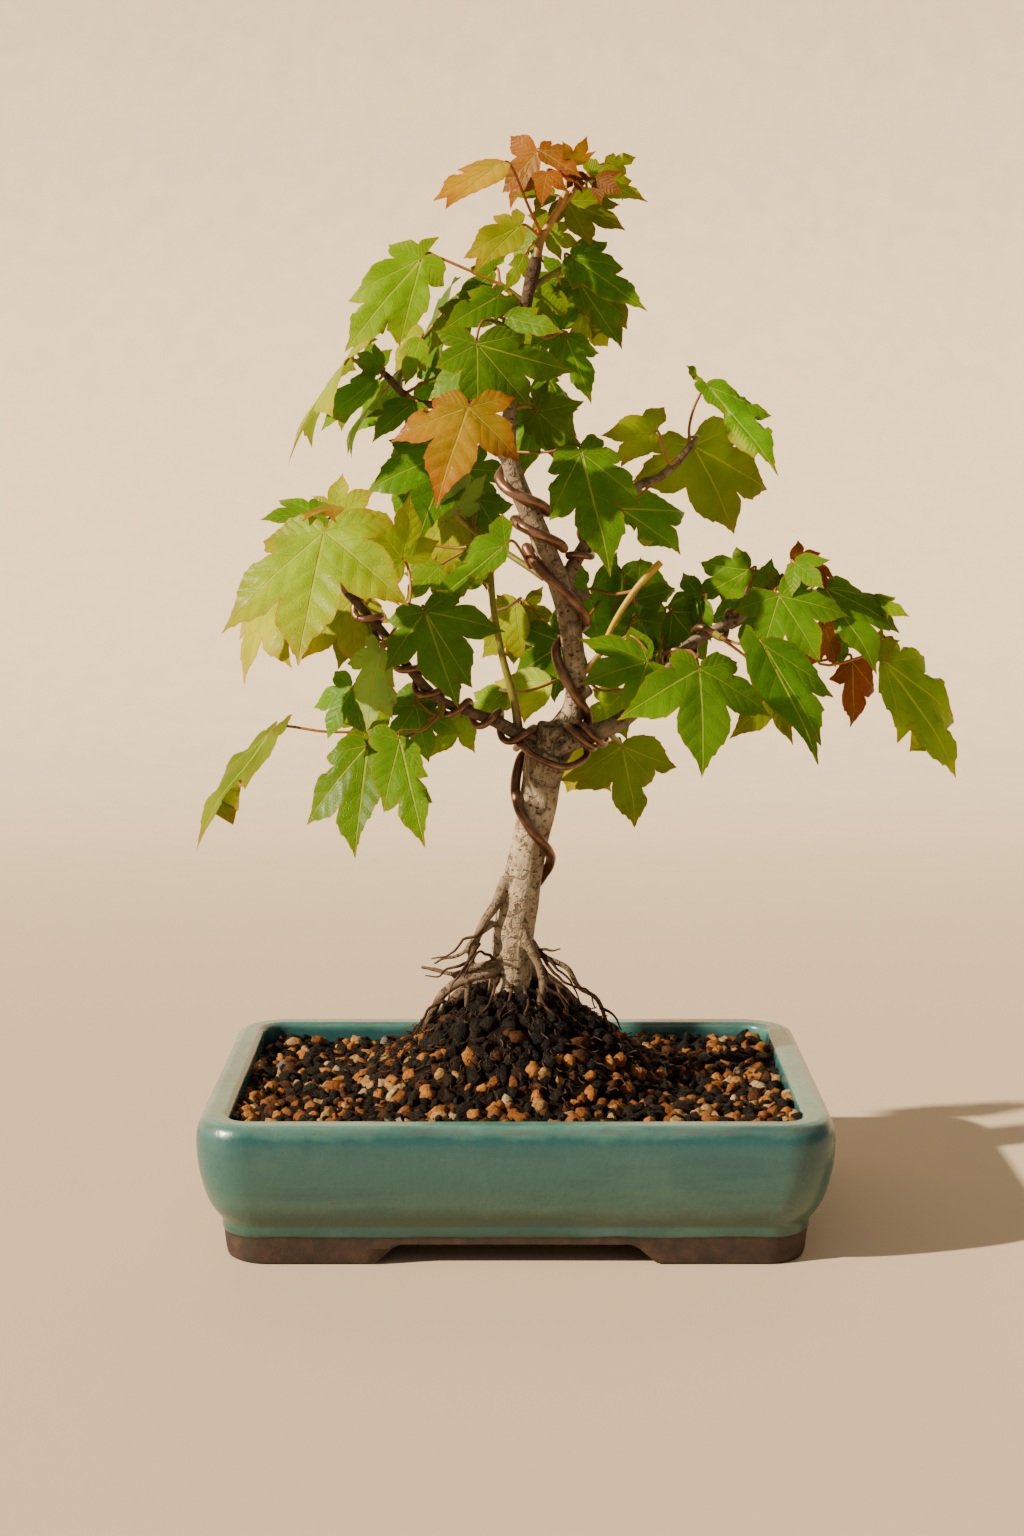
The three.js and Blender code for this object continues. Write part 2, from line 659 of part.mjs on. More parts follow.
// A leaf: blade and stalk in one skin, the stalk growing from the notch at the blade's base
function leafSolid([stalk, joint, tip, lobes = [], roll = 0, small = false]) {
  const plane = bladePlane(joint, tip, roll);
  const { origin, along, side, normal, length } = plane;
  const outline = bladeOutline(plane, lobes, small);
  const place = ({ x, y }, lift) => origin.clone()
    .addScaledVector(along, x)
    .addScaledVector(side, y)
    .addScaledVector(normal, lift);
  const rim = outline.map(({ point, crease }) => (
    place(point, crease - (bladeDroop * point.y * point.y) / length)));
  const count = rim.length;
  const low = count + 1;
  const half = normal.clone().multiplyScalar(bladeThickness / 2);
  const middle = place({ x: ribCentre * length, y: 0 }, 0);
  const positions = [
    ...[...rim, middle].map((p) => p.clone().add(half)),
    ...[...rim, middle].map((p) => p.clone().sub(half)),
  ];
  const faces = [];
  for (let i = 0; i < count; i += 1) {
    const next = (i + 1) % count;
    faces.push([count, i, next], [low + count, low + next, low + i]);
    if (next > 0) faces.push([low + i, low + next, next], [low + i, next, i]);
  }
  let ring = [count - 1, 0, low, low + count - 1];
  for (const corners of stalkRings(plane, stalk)) {
    const further = corners.map((corner) => positions.push(corner) - 1);
    for (let j = 0; j < 4; j += 1) {
      const next = (j + 1) % 4;
      faces.push([ring[j], further[j], further[next]], [ring[j], further[next], ring[next]]);
    }
    ring = further;
  }
  faces.push([ring[0], ring[3], ring[2]], [ring[0], ring[2], ring[1]]);
  return solidOf(positions, faces);
}

// Leafy shoots: green stems as limbs, and the leaves on them
const sprays = {
  crown: {
    colour: 0x7f9a2c,
    stems: [
      [[536, 262, 2, 1.9], [541, 240, 2, 1.7], [553, 218, 1, 1.5], [562, 203, 0, 1.4], [567, 190, 0, 1.2]],
      [[552, 220, 1, 1.3], [566, 202, 2, 1.2], [577, 186, 3, 1]],
    ],
    leaves: [
      [[[543, 237, 2], [530, 210, -5]], [502, 163, -9], [433, 198, -20],
        [[457, 167], [445, 205]], 30],
      [[[577, 188, 3], [586, 188, 5]], [592, 177, 8], [648, 202, 13], [[632, 180], [584, 156]], 20],
      [[[576, 188, 3], [594, 176, 14]], [606, 163, 18], [638, 156, 22],
        [[614, 152], [628, 173], [628, 197]], 0],
      [[[560, 206, 0]], [553, 194, 4], [511, 195, 7], [], 40, true],
      [[[565, 203, 2]], [567, 201, 8], [591, 245, 4], [[626, 226], [620, 198], [545, 222]], 0],
      [[[542, 239, 2]], [549, 235, 9], [580, 245, 8], [], 30, true],
      [[[542, 238, 2]], [520, 226, -5], [464, 255, -14], [[476, 268], [494, 212], [517, 205]], 10],
      [[[540, 243, 2]], [533, 233, 6], [513, 270, 12], [], 30, true],
    ],
  },
  young_crown: {
    colour: 0xc4682e,
    stems: [[[568, 187, 0, 1.2], [569, 180, 0, 1.2], [568, 173, 0, 1]]],
    leaves: [
      [[[568, 180, 0]], [536, 154, 6], [509, 209, 14], [[508, 134], [501, 192]], 20],
      [[[568, 178, 0]], [541, 151, -2], [581, 176, -8], [[551, 140], [576, 151], [559, 170]], 0],
      [[[568, 176, 0]], [572, 162, -6], [588, 138, -10], [], 40, true],
      [[[569, 180, 0]], [597, 180, -8], [621, 193, -12], [], 20, true],
      [[[568, 178, 0]], [547, 173, -8], [541, 205, -12], [], 20, true],
    ],
  },
  crown_right: {
    colour: 0x3f6a1e,
    stems: [[[529, 290, 2, 1.6], [548, 277, 7, 1.4], [566, 268, 10, 1.3], [575, 272, 12, 1.1]]],
    leaves: [
      [[[566, 268, 10]], [572, 257, 6], [648, 310, 8], [[624, 267], [572, 289], [608, 240]], 0],
      [[[575, 272, 12]], [578, 281, 17], [624, 350, 19], [[631, 319], [551, 294], [586, 315]], 0],
      [[[575, 272, 12], [585, 292, 32]], [583, 313, 38], [610, 349, 44], [], 20],
      [[[556, 273, 8], [562, 272, 22]], [565, 275, 26], [545, 318, 28], [], 0],
    ],
  },
  crown_left: {
    colour: 0x6d9a28,
    stems: [[[526, 304, 2, 1.5], [512, 293, 2, 1.3], [500, 284, 2, 1.1]]],
    leaves: [
      [[[504, 286, 2], [475, 273, 1], [438, 257, 1]], [422, 258, 0], [344, 349, -4],
        [[399, 342], [348, 296], [388, 242], [439, 236], [444, 283]], 0],
      [[[500, 284, 2]], [492, 272, 9], [453, 311, 12], [[507, 253], [470, 266]], 0],
      [[[512, 293, 2], [504, 300, -4]], [497, 297, -10], [440, 330, -16],
        [[469, 288], [523, 304], [504, 284]], 0],
    ],
  },
  front_left: {
    colour: 0x3c661c,
    stems: [[[517, 334, 1, 1.4], [504, 326, -10, 1.2], [492, 320, -20, 1.1]]],
    leaves: [
      [[[492, 320, -20], [482, 322, -26]], [477, 344, -29], [478, 425, -17],
        [[575, 373], [529, 406], [434, 368], [434, 331], [525, 334]], 0],
      [[[504, 326, -10]], [474, 361, -14], [462, 424, -14], [], 10],
      [[[516, 334, 1], [530, 334, 10]], [560, 330, 20], [500, 318, 18], [], 0],
    ],
  },
  bronze_leaf: {
    colour: 0xb98a3c,
    stems: [],
    leaves: [
      [[[440, 404, 9], [436, 414, -16], [446, 410, -36]], [468, 408, -40], [435, 503, -46],
        [[389, 433], [520, 454], [516, 394], [432, 396]], 0],
    ],
  },
  upper_left: {
    colour: 0x7da033,
    stems: [[[386, 375, 8, 1.4], [372, 365, 8, 1.2], [360, 360, 8, 1]],
      [[398, 387, 9, 1.2], [400, 376, 16, 1.1], [412, 352, 20, 1], [430, 330, 22, 0.9]]],
    leaves: [
      [[[366, 362, 8], [353, 359, 10]], [346, 360, 12], [280, 459, 14], [], 62],
      [[[384, 373, 8]], [374, 381, -2], [319, 424, -12], [[339, 424], [357, 370]], 20],
      [[[388, 378, 8]], [382, 392, 14], [339, 449, 20], [], 62],
      [[[372, 365, 8]], [376, 368, 16], [368, 340, 20], [], 10, true],
      [[[400, 378, 16]], [400, 382, 32], [352, 432, 42], [[376, 428], [372, 388]], 0],
      [[[420, 342, 21]], [424, 336, 36], [392, 372, 42], [], 0, true],
      [[[430, 330, 22]], [447, 305, 22], [408, 378, 26], [], 55],
      [[[404, 394, 10]], [413, 404, 2], [371, 437, -6], [], 20, true],
    ],
  },
  mid_left: {
    colour: 0x5c8426,
    stems: [[[544, 578, -2, 1.5], [531, 569, 1, 1.4], [502, 550, 8, 1.3], [474, 531, 14, 1.2],
      [450, 508, 19, 1.1], [434, 484, 23, 1]]],
    leaves: [
      [[[531, 569, 1]], [505, 545, -16], [425, 610, -12], [[502, 512], [470, 584], [458, 556]], 0],
      [[[470, 528, 15]], [458, 508, 8], [462, 462, 6], [], 40],
      [[[474, 531, 14]], [447, 520, 34], [411, 569, 38], [], 0],
      [[[434, 484, 23]], [425, 466, 26], [368, 484, 30], [], 10],
      [[[444, 500, 20]], [434, 499, 12], [409, 522, 8], [], 30, true],
      [[[456, 514, 18], [462, 490, 26]], [466, 469, 32], [496, 511, 36], [], 0],
      [[[486, 540, 11], [460, 548, 18]], [425, 552, 22], [412, 588, 24], [], 20, true],
    ],
  },
  low_front_left: {
    colour: 0x47701f,
    stems: [],
    leaves: [
      [[[403, 660, -17], [414, 632, -30]], [425, 612, -36], [457, 706, -44],
        [[503, 626], [459, 589], [386, 619], [382, 667], [471, 685]], 0],
    ],
  },
  left_tip: {
    colour: 0x8fa84a,
    stems: [[[346, 591, -28, 1.7], [337, 574, -32, 1.5], [331, 556, -38, 1.3], [327, 538, -44, 1.2]]],
    leaves: [
      [[[329, 546, -41]], [325, 532, -62], [296, 663, -74],
        [[213, 624], [403, 596], [390, 516], [260, 537]], 0],
      [[[328, 540, -43]], [316, 514, -38], [260, 518, -34], [], 30],
      [[[328, 541, -43]], [335, 507, -50], [301, 516, -56], [], 40, true],
      [[[329, 544, -42]], [333, 516, -32], [374, 489, -26], [], 20],
      [[[340, 580, -30]], [275, 592, -40], [236, 681, -30], [], 30],
      [[[342, 584, -29]], [351, 602, -10], [300, 658, -8], [], 0],
    ],
  },
  left_middle: {
    colour: 0x5b8a24,
    stems: [[[388, 638, -20, 1.4], [384, 645, -26, 1.2]]],
    leaves: [
      [[[384, 645, -26]], [380, 650, -31], [365, 730, -34],
        [[345, 662], [364, 635], [394, 686], [391, 717]], 0],
      [[[387, 642, -22], [370, 672, -18]], [352, 688, -18], [325, 738, -14], [], 10],
      [[[388, 640, -22], [410, 600, -8]], [403, 560, -2], [360, 505, 2], [], 0],
    ],
  },
  left_low: {
    colour: 0x6d9030,
    stems: [[[444, 702, -11, 1.6], [440, 716, -14, 1.4]]],
    leaves: [
      [[[441, 712, -13], [422, 730, -24]], [400, 740, -34], [424, 847, -38],
        [[366, 730], [382, 811], [428, 777]], 0],
      [[[440, 716, -14], [430, 712, -8]], [416, 706, -4], [428, 763, 0], [], 0],
      [[[440, 716, -14], [404, 738, -14]], [368, 745, -12], [353, 857, -16],
        [[302, 821], [325, 756]], 0],
      [[[441, 714, -12], [404, 728, 4], [330, 732, 8]], [270, 733, 10], [188, 845, 14],
        [[289, 711], [271, 720], [249, 740], [209, 784], [241, 787]], 30],
    ],
  },
  green_shoot: {
    colour: 0x8a9c3a,
    stems: [[[519, 733, -2, 2.1], [514, 700, -5, 1.7], [502, 655, -7, 1.5],
      [493, 604, -7, 1.4], [491, 573, -6, 1.2]]],
    leaves: [
      [[[491, 577, -6]], [489, 569, 2], [466, 584, 4], [], 0, true],
      [[[493, 612, -7]], [482, 580, -2], [452, 560, 4], [], 0, true],
      [[[512, 692, -5], [532, 690, 10]], [549, 682, 18], [478, 704, 22], [[490, 680], [520, 722]], 0],
    ],
  },
  inner: {
    colour: 0x557d22,
    stems: [[[574, 662, 4, 1.5], [566, 648, 16, 1.3], [556, 632, 26, 1.1]]],
    leaves: [
      [[[556, 632, 26], [540, 618, 32]], [521, 607, 36], [513, 668, 42],
        [[496, 596], [557, 620], [543, 588], [492, 653]], 0],
      [[[567, 650, 15]], [565, 643, 22], [513, 676, 26], [], 0],
    ],
  },
  front_right: {
    colour: 0x335f18,
    stems: [],
    leaves: [
      [[[511, 452, -2], [548, 452, -10]], [581, 453, -15], [612, 572, -24],
        [[550, 516], [548, 469], [645, 502], [623, 453], [604, 437]], 0],
    ],
  },
  leader_leaves: {
    colour: 0x55761f,
    stems: [[[509, 412, 1, 1.4], [524, 406, -1, 1.2], [536, 408, -1, 1.1]]],
    leaves: [
      [[[534, 408, -1]], [538, 412, -5], [579, 447, -8], [], 50],
      [[[530, 407, -1]], [537, 410, 8], [521, 475, 10], [], 20],
    ],
  },
  upper_right: {
    colour: 0x6f8f2a,
    stems: [[[692, 445, 17, 1.5], [698, 437, 17, 1.2]]],
    leaves: [
      [[[680, 458, 16], [669, 463, 8]], [654, 433, 2], [617, 460, -4],
        [[604, 432], [666, 405], [622, 466]], 0],
      [[[694, 438, 17], [698, 436, 28]], [693, 446, 34], [739, 535, 38],
        [[777, 491], [745, 422], [640, 483], [649, 440]], 0],
      [[[691, 446, 17], [689, 430, 16], [694, 408, 15], [701, 392, 14]], [708, 387, 12],
        [779, 469, 4], [[686, 363], [694, 384], [772, 411], [740, 392], [724, 412]], 10],
      [[[655, 480, 12], [636, 498, 18]], [621, 509, 20], [688, 554, 26], [[695, 511], [636, 531]], 0],
    ],
  },
  yellow_shoot: {
    colour: 0xa9a032,
    stems: [[[578, 676, 3, 1.8], [589, 667, 1, 1.5], [599, 655, 0, 1.3], [615, 621, -2, 1.2],
      [636, 589, -4, 1.3], [656, 567, -6, 1.6], [661, 562, -6, 1.4]]],
    leaves: [
      [[[634, 591, -4], [612, 594, 6]], [590, 596, 14], [600, 650, 16], [[580, 561], [620, 554]], 0],
      [[[633, 594, -4]], [636, 599, 10], [641, 557, 14], [[679, 590], [612, 612]], 0],
      [[[600, 655, 0], [632, 636, -10]], [647, 662, -16], [582, 682, -24], [], 10],
      [[[601, 652, 0], [622, 640, 8]], [640, 620, 20], [662, 668, 24], [], 0],
    ],
  },
  right_front: {
    colour: 0x3d6b1d,
    stems: [],
    leaves: [
      [[[684, 651, 9], [692, 652, -30]], [699, 669, -56], [705, 774, -66],
        [[623, 712], [777, 710], [740, 659], [672, 651]], 0],
    ],
  },
  right_middle: {
    colour: 0x6a8c2b,
    stems: [[[712, 632, 12, 1.5], [722, 638, 0, 1.3]]],
    leaves: [
      [[[722, 638, 0], [742, 644, -14]], [763, 645, -26], [822, 761, -34],
        [[839, 691], [825, 742], [747, 623]], 0],
      [[[720, 637, 2], [750, 660, 6]], [776, 687, 6], [794, 745, 8], [[736, 736]], 0],
    ],
  },
  right_behind: {
    colour: 0x55781f,
    stems: [[[748, 609, 13, 1.5], [746, 592, 16, 1.2]]],
    leaves: [
      [[[746, 592, 16]], [749, 570, 18], [694, 600, 22],
        [[697, 563], [720, 602], [734, 547], [773, 580]], 0],
      [[[748, 600, 15], [762, 602, 24]], [770, 600, 34], [706, 622, 38], [], 0],
    ],
  },
  hanging: {
    colour: 0x778a2c,
    stems: [[[606, 729, -5, 1.6], [614, 738, 6, 1.3], [620, 744, 18, 1.1]]],
    leaves: [
      [[[619, 743, 16]], [622, 746, 24], [639, 832, 26],
        [[565, 787], [581, 795], [685, 773], [657, 785]], 0],
      [[[616, 740, 10], [602, 744, 26]], [590, 748, 34], [566, 794, 38], [], 0],
    ],
  },
  right_tip: {
    colour: 0x7c9a3a,
    stems: [[[786, 575, 10, 1.5], [796, 586, 10, 1.3], [806, 592, 10, 1.2]],
      [[790, 579, 10, 1.2], [794, 566, 8, 1]]],
    leaves: [
      [[[806, 592, 10]], [825, 588, 4], [880, 670, -4],
        [[905, 625], [908, 600], [864, 587], [820, 622]], 0],
      [[[797, 587, 10], [806, 620, 12], [820, 664, 14]], [884, 662, 16], [970, 778, 18],
        [[967, 721], [905, 743], [933, 656], [901, 641]], 0],
      [[[793, 583, 10], [810, 660, 24]], [852, 662, 28], [855, 731, 32], [[832, 681], [880, 695]], 0],
      [[[792, 581, 10]], [779, 596, -4], [821, 661, -8], [], 20],
      [[[794, 566, 8]], [795, 563, 0], [824, 588, -6], [], 30, true],
      [[[804, 591, 10], [838, 616, 20]], [842, 634, 22], [841, 668, 24], [], 0, true],
    ],
  },
  young_right: {
    colour: 0xc06a30,
    stems: [],
    leaves: [
      [[[788, 574, 12], [790, 566, 18]], [794, 563, 20], [822, 552, 22], [], 0, true],
    ],
  },
};

const wireSpace = joined(wires.map(([, points, radius, sides]) => (
  wireSolid(points, radius, sides, clearance))));
const meshSpace = [-1, 1].map((side) => drainMesh(side, clearance));

addPart('pot', potSolid(), 0x6f9a8c, 0.3);
addPart('soil', soilSolid([treeSpace, wireSpace, ...meshSpace]), 0x7a5638, 0.9);
addPart('tree', tree, 0x8d8069, 0.85);
for (const [name, points, radius, sides] of wires) {
  addPart(name, mainBody(wireSolid(points, radius, sides).subtract(treeSpace)), 0x9a5f42, 0.35, 0.8);
}
for (const [name, side] of [['drain_mesh_left', -1], ['drain_mesh_right', 1]]) {
  addPart(name, drainMesh(side), 0x20242a, 0.6);
}
const woodSpace = treeSpace.add(wireSpace);
for (const [name, { colour, stems, leaves }] of Object.entries(sprays)) {
  const solids = [
    ...stems.map((route) => limbSolid(limb(route, route.length, 4))),
    ...leaves.map(leafSolid),
  ];
  const bodies = joined(solids).subtract(woodSpace).decompose();
  const shoots = bodies.filter((body) => body.volume() > leastScrap);
  shoots.sort((a, b) => b.volume() - a.volume());
  shoots.forEach((body, i) => addPart(i === 0 ? name : `${name}_${i + 1}`, body, colour, 0.55));
}

// The origin is at the bottom centre of the whole
const box = new THREE.Box3().setFromObject(root);
const centre = box.getCenter(new THREE.Vector3());
root.position.set(-centre.x, -centre.y, -box.min.z);

export default root;
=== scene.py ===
"""Sweetgum bonsai in a rectangular glazed pot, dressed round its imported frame. Metres, +Z up."""
import math

import bmesh
import bpy
import numpy as np
from mathutils import Matrix, Vector, geometry, noise


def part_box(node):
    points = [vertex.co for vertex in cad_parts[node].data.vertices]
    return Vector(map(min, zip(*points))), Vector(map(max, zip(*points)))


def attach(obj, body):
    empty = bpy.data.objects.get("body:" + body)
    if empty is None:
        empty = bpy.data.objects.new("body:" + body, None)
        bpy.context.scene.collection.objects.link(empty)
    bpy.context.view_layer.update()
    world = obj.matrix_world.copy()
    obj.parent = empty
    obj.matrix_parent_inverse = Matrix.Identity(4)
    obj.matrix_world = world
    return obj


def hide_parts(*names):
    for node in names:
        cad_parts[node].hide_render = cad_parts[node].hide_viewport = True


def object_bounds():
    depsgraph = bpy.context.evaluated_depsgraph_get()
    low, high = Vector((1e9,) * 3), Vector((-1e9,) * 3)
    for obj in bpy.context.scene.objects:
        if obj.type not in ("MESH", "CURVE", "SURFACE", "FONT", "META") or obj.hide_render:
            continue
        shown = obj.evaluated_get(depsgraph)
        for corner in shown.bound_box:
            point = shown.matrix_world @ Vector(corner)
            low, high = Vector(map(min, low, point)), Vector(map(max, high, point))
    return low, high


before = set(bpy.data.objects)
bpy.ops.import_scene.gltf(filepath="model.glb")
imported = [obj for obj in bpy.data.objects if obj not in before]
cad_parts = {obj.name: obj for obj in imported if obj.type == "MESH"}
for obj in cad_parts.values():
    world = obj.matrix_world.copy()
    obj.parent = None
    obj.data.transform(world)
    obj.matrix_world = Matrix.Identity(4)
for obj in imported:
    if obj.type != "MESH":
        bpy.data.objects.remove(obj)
CAD_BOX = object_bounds()

# View. The camera stands where the picture was taken, level with the crown and a little to the
# left of the trunk. It also places all that grew: a point seen at a pixel of the picture, which
# is 1024 by 1536 pixels, is found on the upright plane at a depth behind the trunk.
POT_LOW, POT_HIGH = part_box("pot")
POT_MIDDLE = Vector(((POT_LOW[0] + POT_HIGH[0]) / 2, (POT_LOW[1] + POT_HIGH[1]) / 2, 0))
VIEW_POINT = POT_MIDDLE + Vector((-0.0015, -1.037, 0.3225))
VIEW_PITCH = math.radians(7.6)
VIEW_FOCUS = 2540
PICTURE_SIZE = (1024, 1536)
SENSOR_SIDE = 36

camera_data = bpy.data.cameras.new("view")
camera_data.sensor_width = SENSOR_SIDE
camera_data.lens = VIEW_FOCUS / PICTURE_SIZE[1] * SENSOR_SIDE
camera = bpy.data.objects.new("view", camera_data)
camera.location = VIEW_POINT
camera.rotation_euler = (math.pi / 2 - VIEW_PITCH, 0, 0)
bpy.context.scene.collection.objects.link(camera)
bpy.context.scene.camera = camera


def sight_line(px, py):
    """Direction from the camera through a pixel of the picture."""
    across = (px - PICTURE_SIZE[0] / 2) / VIEW_FOCUS
    up = (PICTURE_SIZE[1] / 2 - py) / VIEW_FOCUS
    ahead = math.cos(VIEW_PITCH) + up * math.sin(VIEW_PITCH)
    rise = up * math.cos(VIEW_PITCH) - math.sin(VIEW_PITCH)
    return Vector((across, ahead, rise))


def seen_at(px, py, depth):
    """Point seen at a pixel, at a depth in millimetres behind the middle of the pot."""
    line = sight_line(px, py)
    away = POT_MIDDLE.y + depth / 1000 - VIEW_POINT.y
    return VIEW_POINT + line * (away / line.y)


# Surroundings. A plain pale floor that sweeps up into a pale wall, a low warm sun from the left in
# front, a wide soft light over the tree, and a faint warm sky.
SWEEP_FRONT = -1.6
SWEEP_BACK = 1.9
SWEEP_RADIUS = 0.9
SWEEP_HEIGHT = 2.2
SWEEP_REACH = 3.0
SWEEP_STEPS = 24
PAPER_COLOUR = (0.95, 0.8, 0.6, 1)
PAPER_SHADE = (0.893, 0.752, 0.564, 1)
FLOOR_COLOUR = (0.62, 0.5, 0.37, 1)
FLOOR_END = (0.3, 1.7)
WINDOW_PLACE = Vector((0.4, -1.7, 1.8))
WINDOW_TARGET = Vector((0, 0, 0.2))
WINDOW_SIDE = 1.6
WINDOW_COLOUR = (1.0, 0.94, 0.84)
SUN_COURSE = Vector((0.86, 0.36, -0.5))
SUN_SPREAD = 1.5
SUN_COLOUR = (1.0, 0.84, 0.6)
SKY_COLOUR = (1.0, 0.91, 0.78, 1)
WINDOW_POWER, SUN_POWER, SKY_POWER = 3.5, 10, 0.25


class Graph:
    """Adds nodes to a node tree, with each input given as a value or as another node's socket."""

    def __init__(self, node_tree):
        self.tree = node_tree

    def add(self, kind, inputs=None, **settings):
        node = self.tree.nodes.new(kind)
        for key, value in settings.items():
            setattr(node, key, value)
        for key, value in (inputs or {}).items():
            self.feed(node.inputs[key], value)
        return node

    def feed(self, socket, value):
        if isinstance(value, bpy.types.NodeSocket):
            self.tree.links.new(value, socket)
        else:
            socket.default_value = value

    def math(self, operation, *values):
        return self.add("ShaderNodeMath", dict(enumerate(values)), operation=operation).outputs[0]

    def plus(self, first, second):
        return self.math("ADD", first, second)

    def minus(self, first, second):
        return self.math("SUBTRACT", first, second)

    def times(self, first, second):
        return self.math("MULTIPLY", first, second)

    def scaled(self, value, factor, shift):
        return self.math("MULTIPLY_ADD", value, factor, shift)

    def vector(self, operation, *values):
        inputs = dict(enumerate(values))
        return self.add("ShaderNodeVectorMath", inputs, operation=operation).outputs[0]

    def part(self, vector, axis):
        return self.add("ShaderNodeSeparateXYZ", {0: vector}).outputs[axis]

    def attribute(self, name, output="Fac"):
        return self.add("ShaderNodeAttribute", attribute_name=name).outputs[output]

    def between(self, value, low, high, start=0.0, end=1.0):
        """Smooth step of a value from start at low to end at high."""
        inputs = {"Value": value, "From Min": low, "From Max": high, "To Min": start, "To Max": end}
        node = self.add("ShaderNodeMapRange", inputs, interpolation_type="SMOOTHSTEP")
        return node.outputs["Result"]

    def mix(self, factor, first, second, blend="MIX"):
        node = self.add("ShaderNodeMix", {0: factor, 6: first, 7: second}, data_type="RGBA")
        node.blend_type = blend
        node.clamp_factor = True
        return node.outputs[2]

    def noise(self, vector, scale, detail=3.0, roughness=0.55, distortion=0.0):
        return self.add("ShaderNodeTexNoise", {
            "Vector": vector, "Scale": scale, "Detail": detail, "Roughness": roughness,
            "Distortion": distortion}).outputs[0]

    def stretched(self, vector, scale):
        return self.add("ShaderNodeMapping", {"Vector": vector, "Scale": scale}).outputs[0]

    def ramp(self, value, stops, interpolation="LINEAR"):
        node = self.add("ShaderNodeValToRGB", {"Fac": value})
        band = node.color_ramp
        band.interpolation = interpolation
        while len(band.elements) < len(stops):
            band.elements.new(0.5)
        for element, (position, *colour) in zip(band.elements, stops):
            element.position = position
            element.color = (*colour, 1)
        return node.outputs["Color"]

    def bump(self, height, distance, normal=None):
        inputs = {"Height": height, "Distance": distance, "Strength": 1.0}
        if normal:
            inputs["Normal"] = normal
        return self.add("ShaderNodeBump", inputs).outputs["Normal"]

    def coat(self, inputs):
        """Feeds the gloss shader and gives back the material."""
        for key, value in inputs.items():
            self.feed(self.gloss.inputs[key], value)
        return self.material


def new_finish(name):
    """A material's graph with its gloss shader, and the coordinates of the piece."""
    material = bpy.data.materials.new(name)
    material.use_nodes = True
    material.node_tree.nodes.clear()
    graph = Graph(material.node_tree)
    graph.material = material
    graph.gloss = graph.add("ShaderNodeBsdfPrincipled")
    graph.output = graph.add("ShaderNodeOutputMaterial", {"Surface": graph.gloss.outputs[0]})
    return graph, graph.add("ShaderNodeTexCoord").outputs["Object"]


def new_piece(name, vertices, faces, materials, smooth=True):
    """An object at the origin from points and faces."""
    mesh = bpy.data.meshes.new(name)
    mesh.from_pydata([tuple(v) for v in vertices], [], faces)
    mesh.validate(clean_customdata=False)
    for material in materials:
        mesh.materials.append(material)
    if smooth:
        mesh.shade_smooth()
    piece = bpy.data.objects.new(name, mesh)
    bpy.context.scene.collection.objects.link(piece)
    return piece


def paper_finish():
    graph, place = new_finish("pale_paper")
    light = graph.between(graph.noise(place, 40.0, 4.0), 0.3, 0.7)
    paper = graph.mix(light, PAPER_SHADE, PAPER_COLOUR)
    away = graph.between(graph.part(place, "Y"), *FLOOR_END)
    return graph.coat({"Base Color": graph.mix(away, FLOOR_COLOUR, paper), "Roughness": 0.9})


def sweep_profile():
    """Points of the sweep from the front of the floor to the top of the wall."""
    points = [(SWEEP_FRONT, 0.0)]
    for step in range(SWEEP_STEPS + 1):
        turn = math.pi / 2 * step / SWEEP_STEPS
        points.append((SWEEP_BACK - SWEEP_RADIUS * (1 - math.sin(turn)),
                       SWEEP_RADIUS * (1 - math.cos(turn))))
    return points + [(SWEEP_BACK, SWEEP_HEIGHT)]


profile = sweep_profile()
sweep_points = [(side * SWEEP_REACH, y, z) for y, z in profile for side in (-1, 1)]
sweep_faces = [(2 * i, 2 * i + 1, 2 * i + 3, 2 * i + 2) for i in range(len(profile) - 1)]
sweep = new_piece("sweep", sweep_points, sweep_faces, [paper_finish()])


def add_light(name, kind, place, course, power, colour):
    """A lamp that shines along a course."""
    lamp = bpy.data.lights.new(name, kind)
    lamp.energy = power
    lamp.color = colour
    light = bpy.data.objects.new(name, lamp)
    light.location = place
    light.rotation_euler = course.to_track_quat("-Z", "Y").to_euler()
    bpy.context.scene.collection.objects.link(light)
    return lamp


window = add_light("window", "AREA", WINDOW_PLACE, WINDOW_TARGET - WINDOW_PLACE, WINDOW_POWER,
                   WINDOW_COLOUR)
window.shape = "DISK"
window.size = WINDOW_SIDE
sun = add_light("sun", "SUN", (0, 0, 0), SUN_COURSE, SUN_POWER, SUN_COLOUR)
sun.angle = math.radians(SUN_SPREAD)
sky = bpy.data.worlds.new("sky")
sky.use_nodes = True
sky.node_tree.nodes["Background"].inputs["Color"].default_value = SKY_COLOUR
sky.node_tree.nodes["Background"].inputs["Strength"].default_value = SKY_POWER
bpy.context.scene.world = sky


# Pot. One piece of thrown and pressed stoneware with rounded corners, a flat lip, a bulging wall
# and four corner feet. Turquoise glaze covers it down to the neck, breaks to brown on the edges of
# the lip and ends in a wavy line above the bare dark clay of the foot band.
POT_LENGTH = 0.25
POT_WIDTH = 0.188
RIM_HEIGHT = 0.0575
OUTER_CORNER = 0.022
INNER_CORNER = 0.011
FOOT_HEIGHT = 0.0085
FOOT_INSET = 0.0102
FOOT_BREADTH = 0.014
FLOOR_HEIGHT = 0.014
WALL_INSET = 0.015
FRONT_GAP = (0.093, 0.111)
SIDE_GAP = (0.06, 0.078)
DRAIN_RADIUS = 0.008
DRAIN_SPACING = 0.11
GLAZE_END = 0.0116
GLAZE_WAVE = 0.0026
CORNER_STEPS = 16
SIDE_STEPS = 20
HAND_WOBBLE = 0.00035
CUT_MARGIN = 0.001
RECESS_CORNER = 0.008
DRAIN_CUT = (0.001, 0.022)
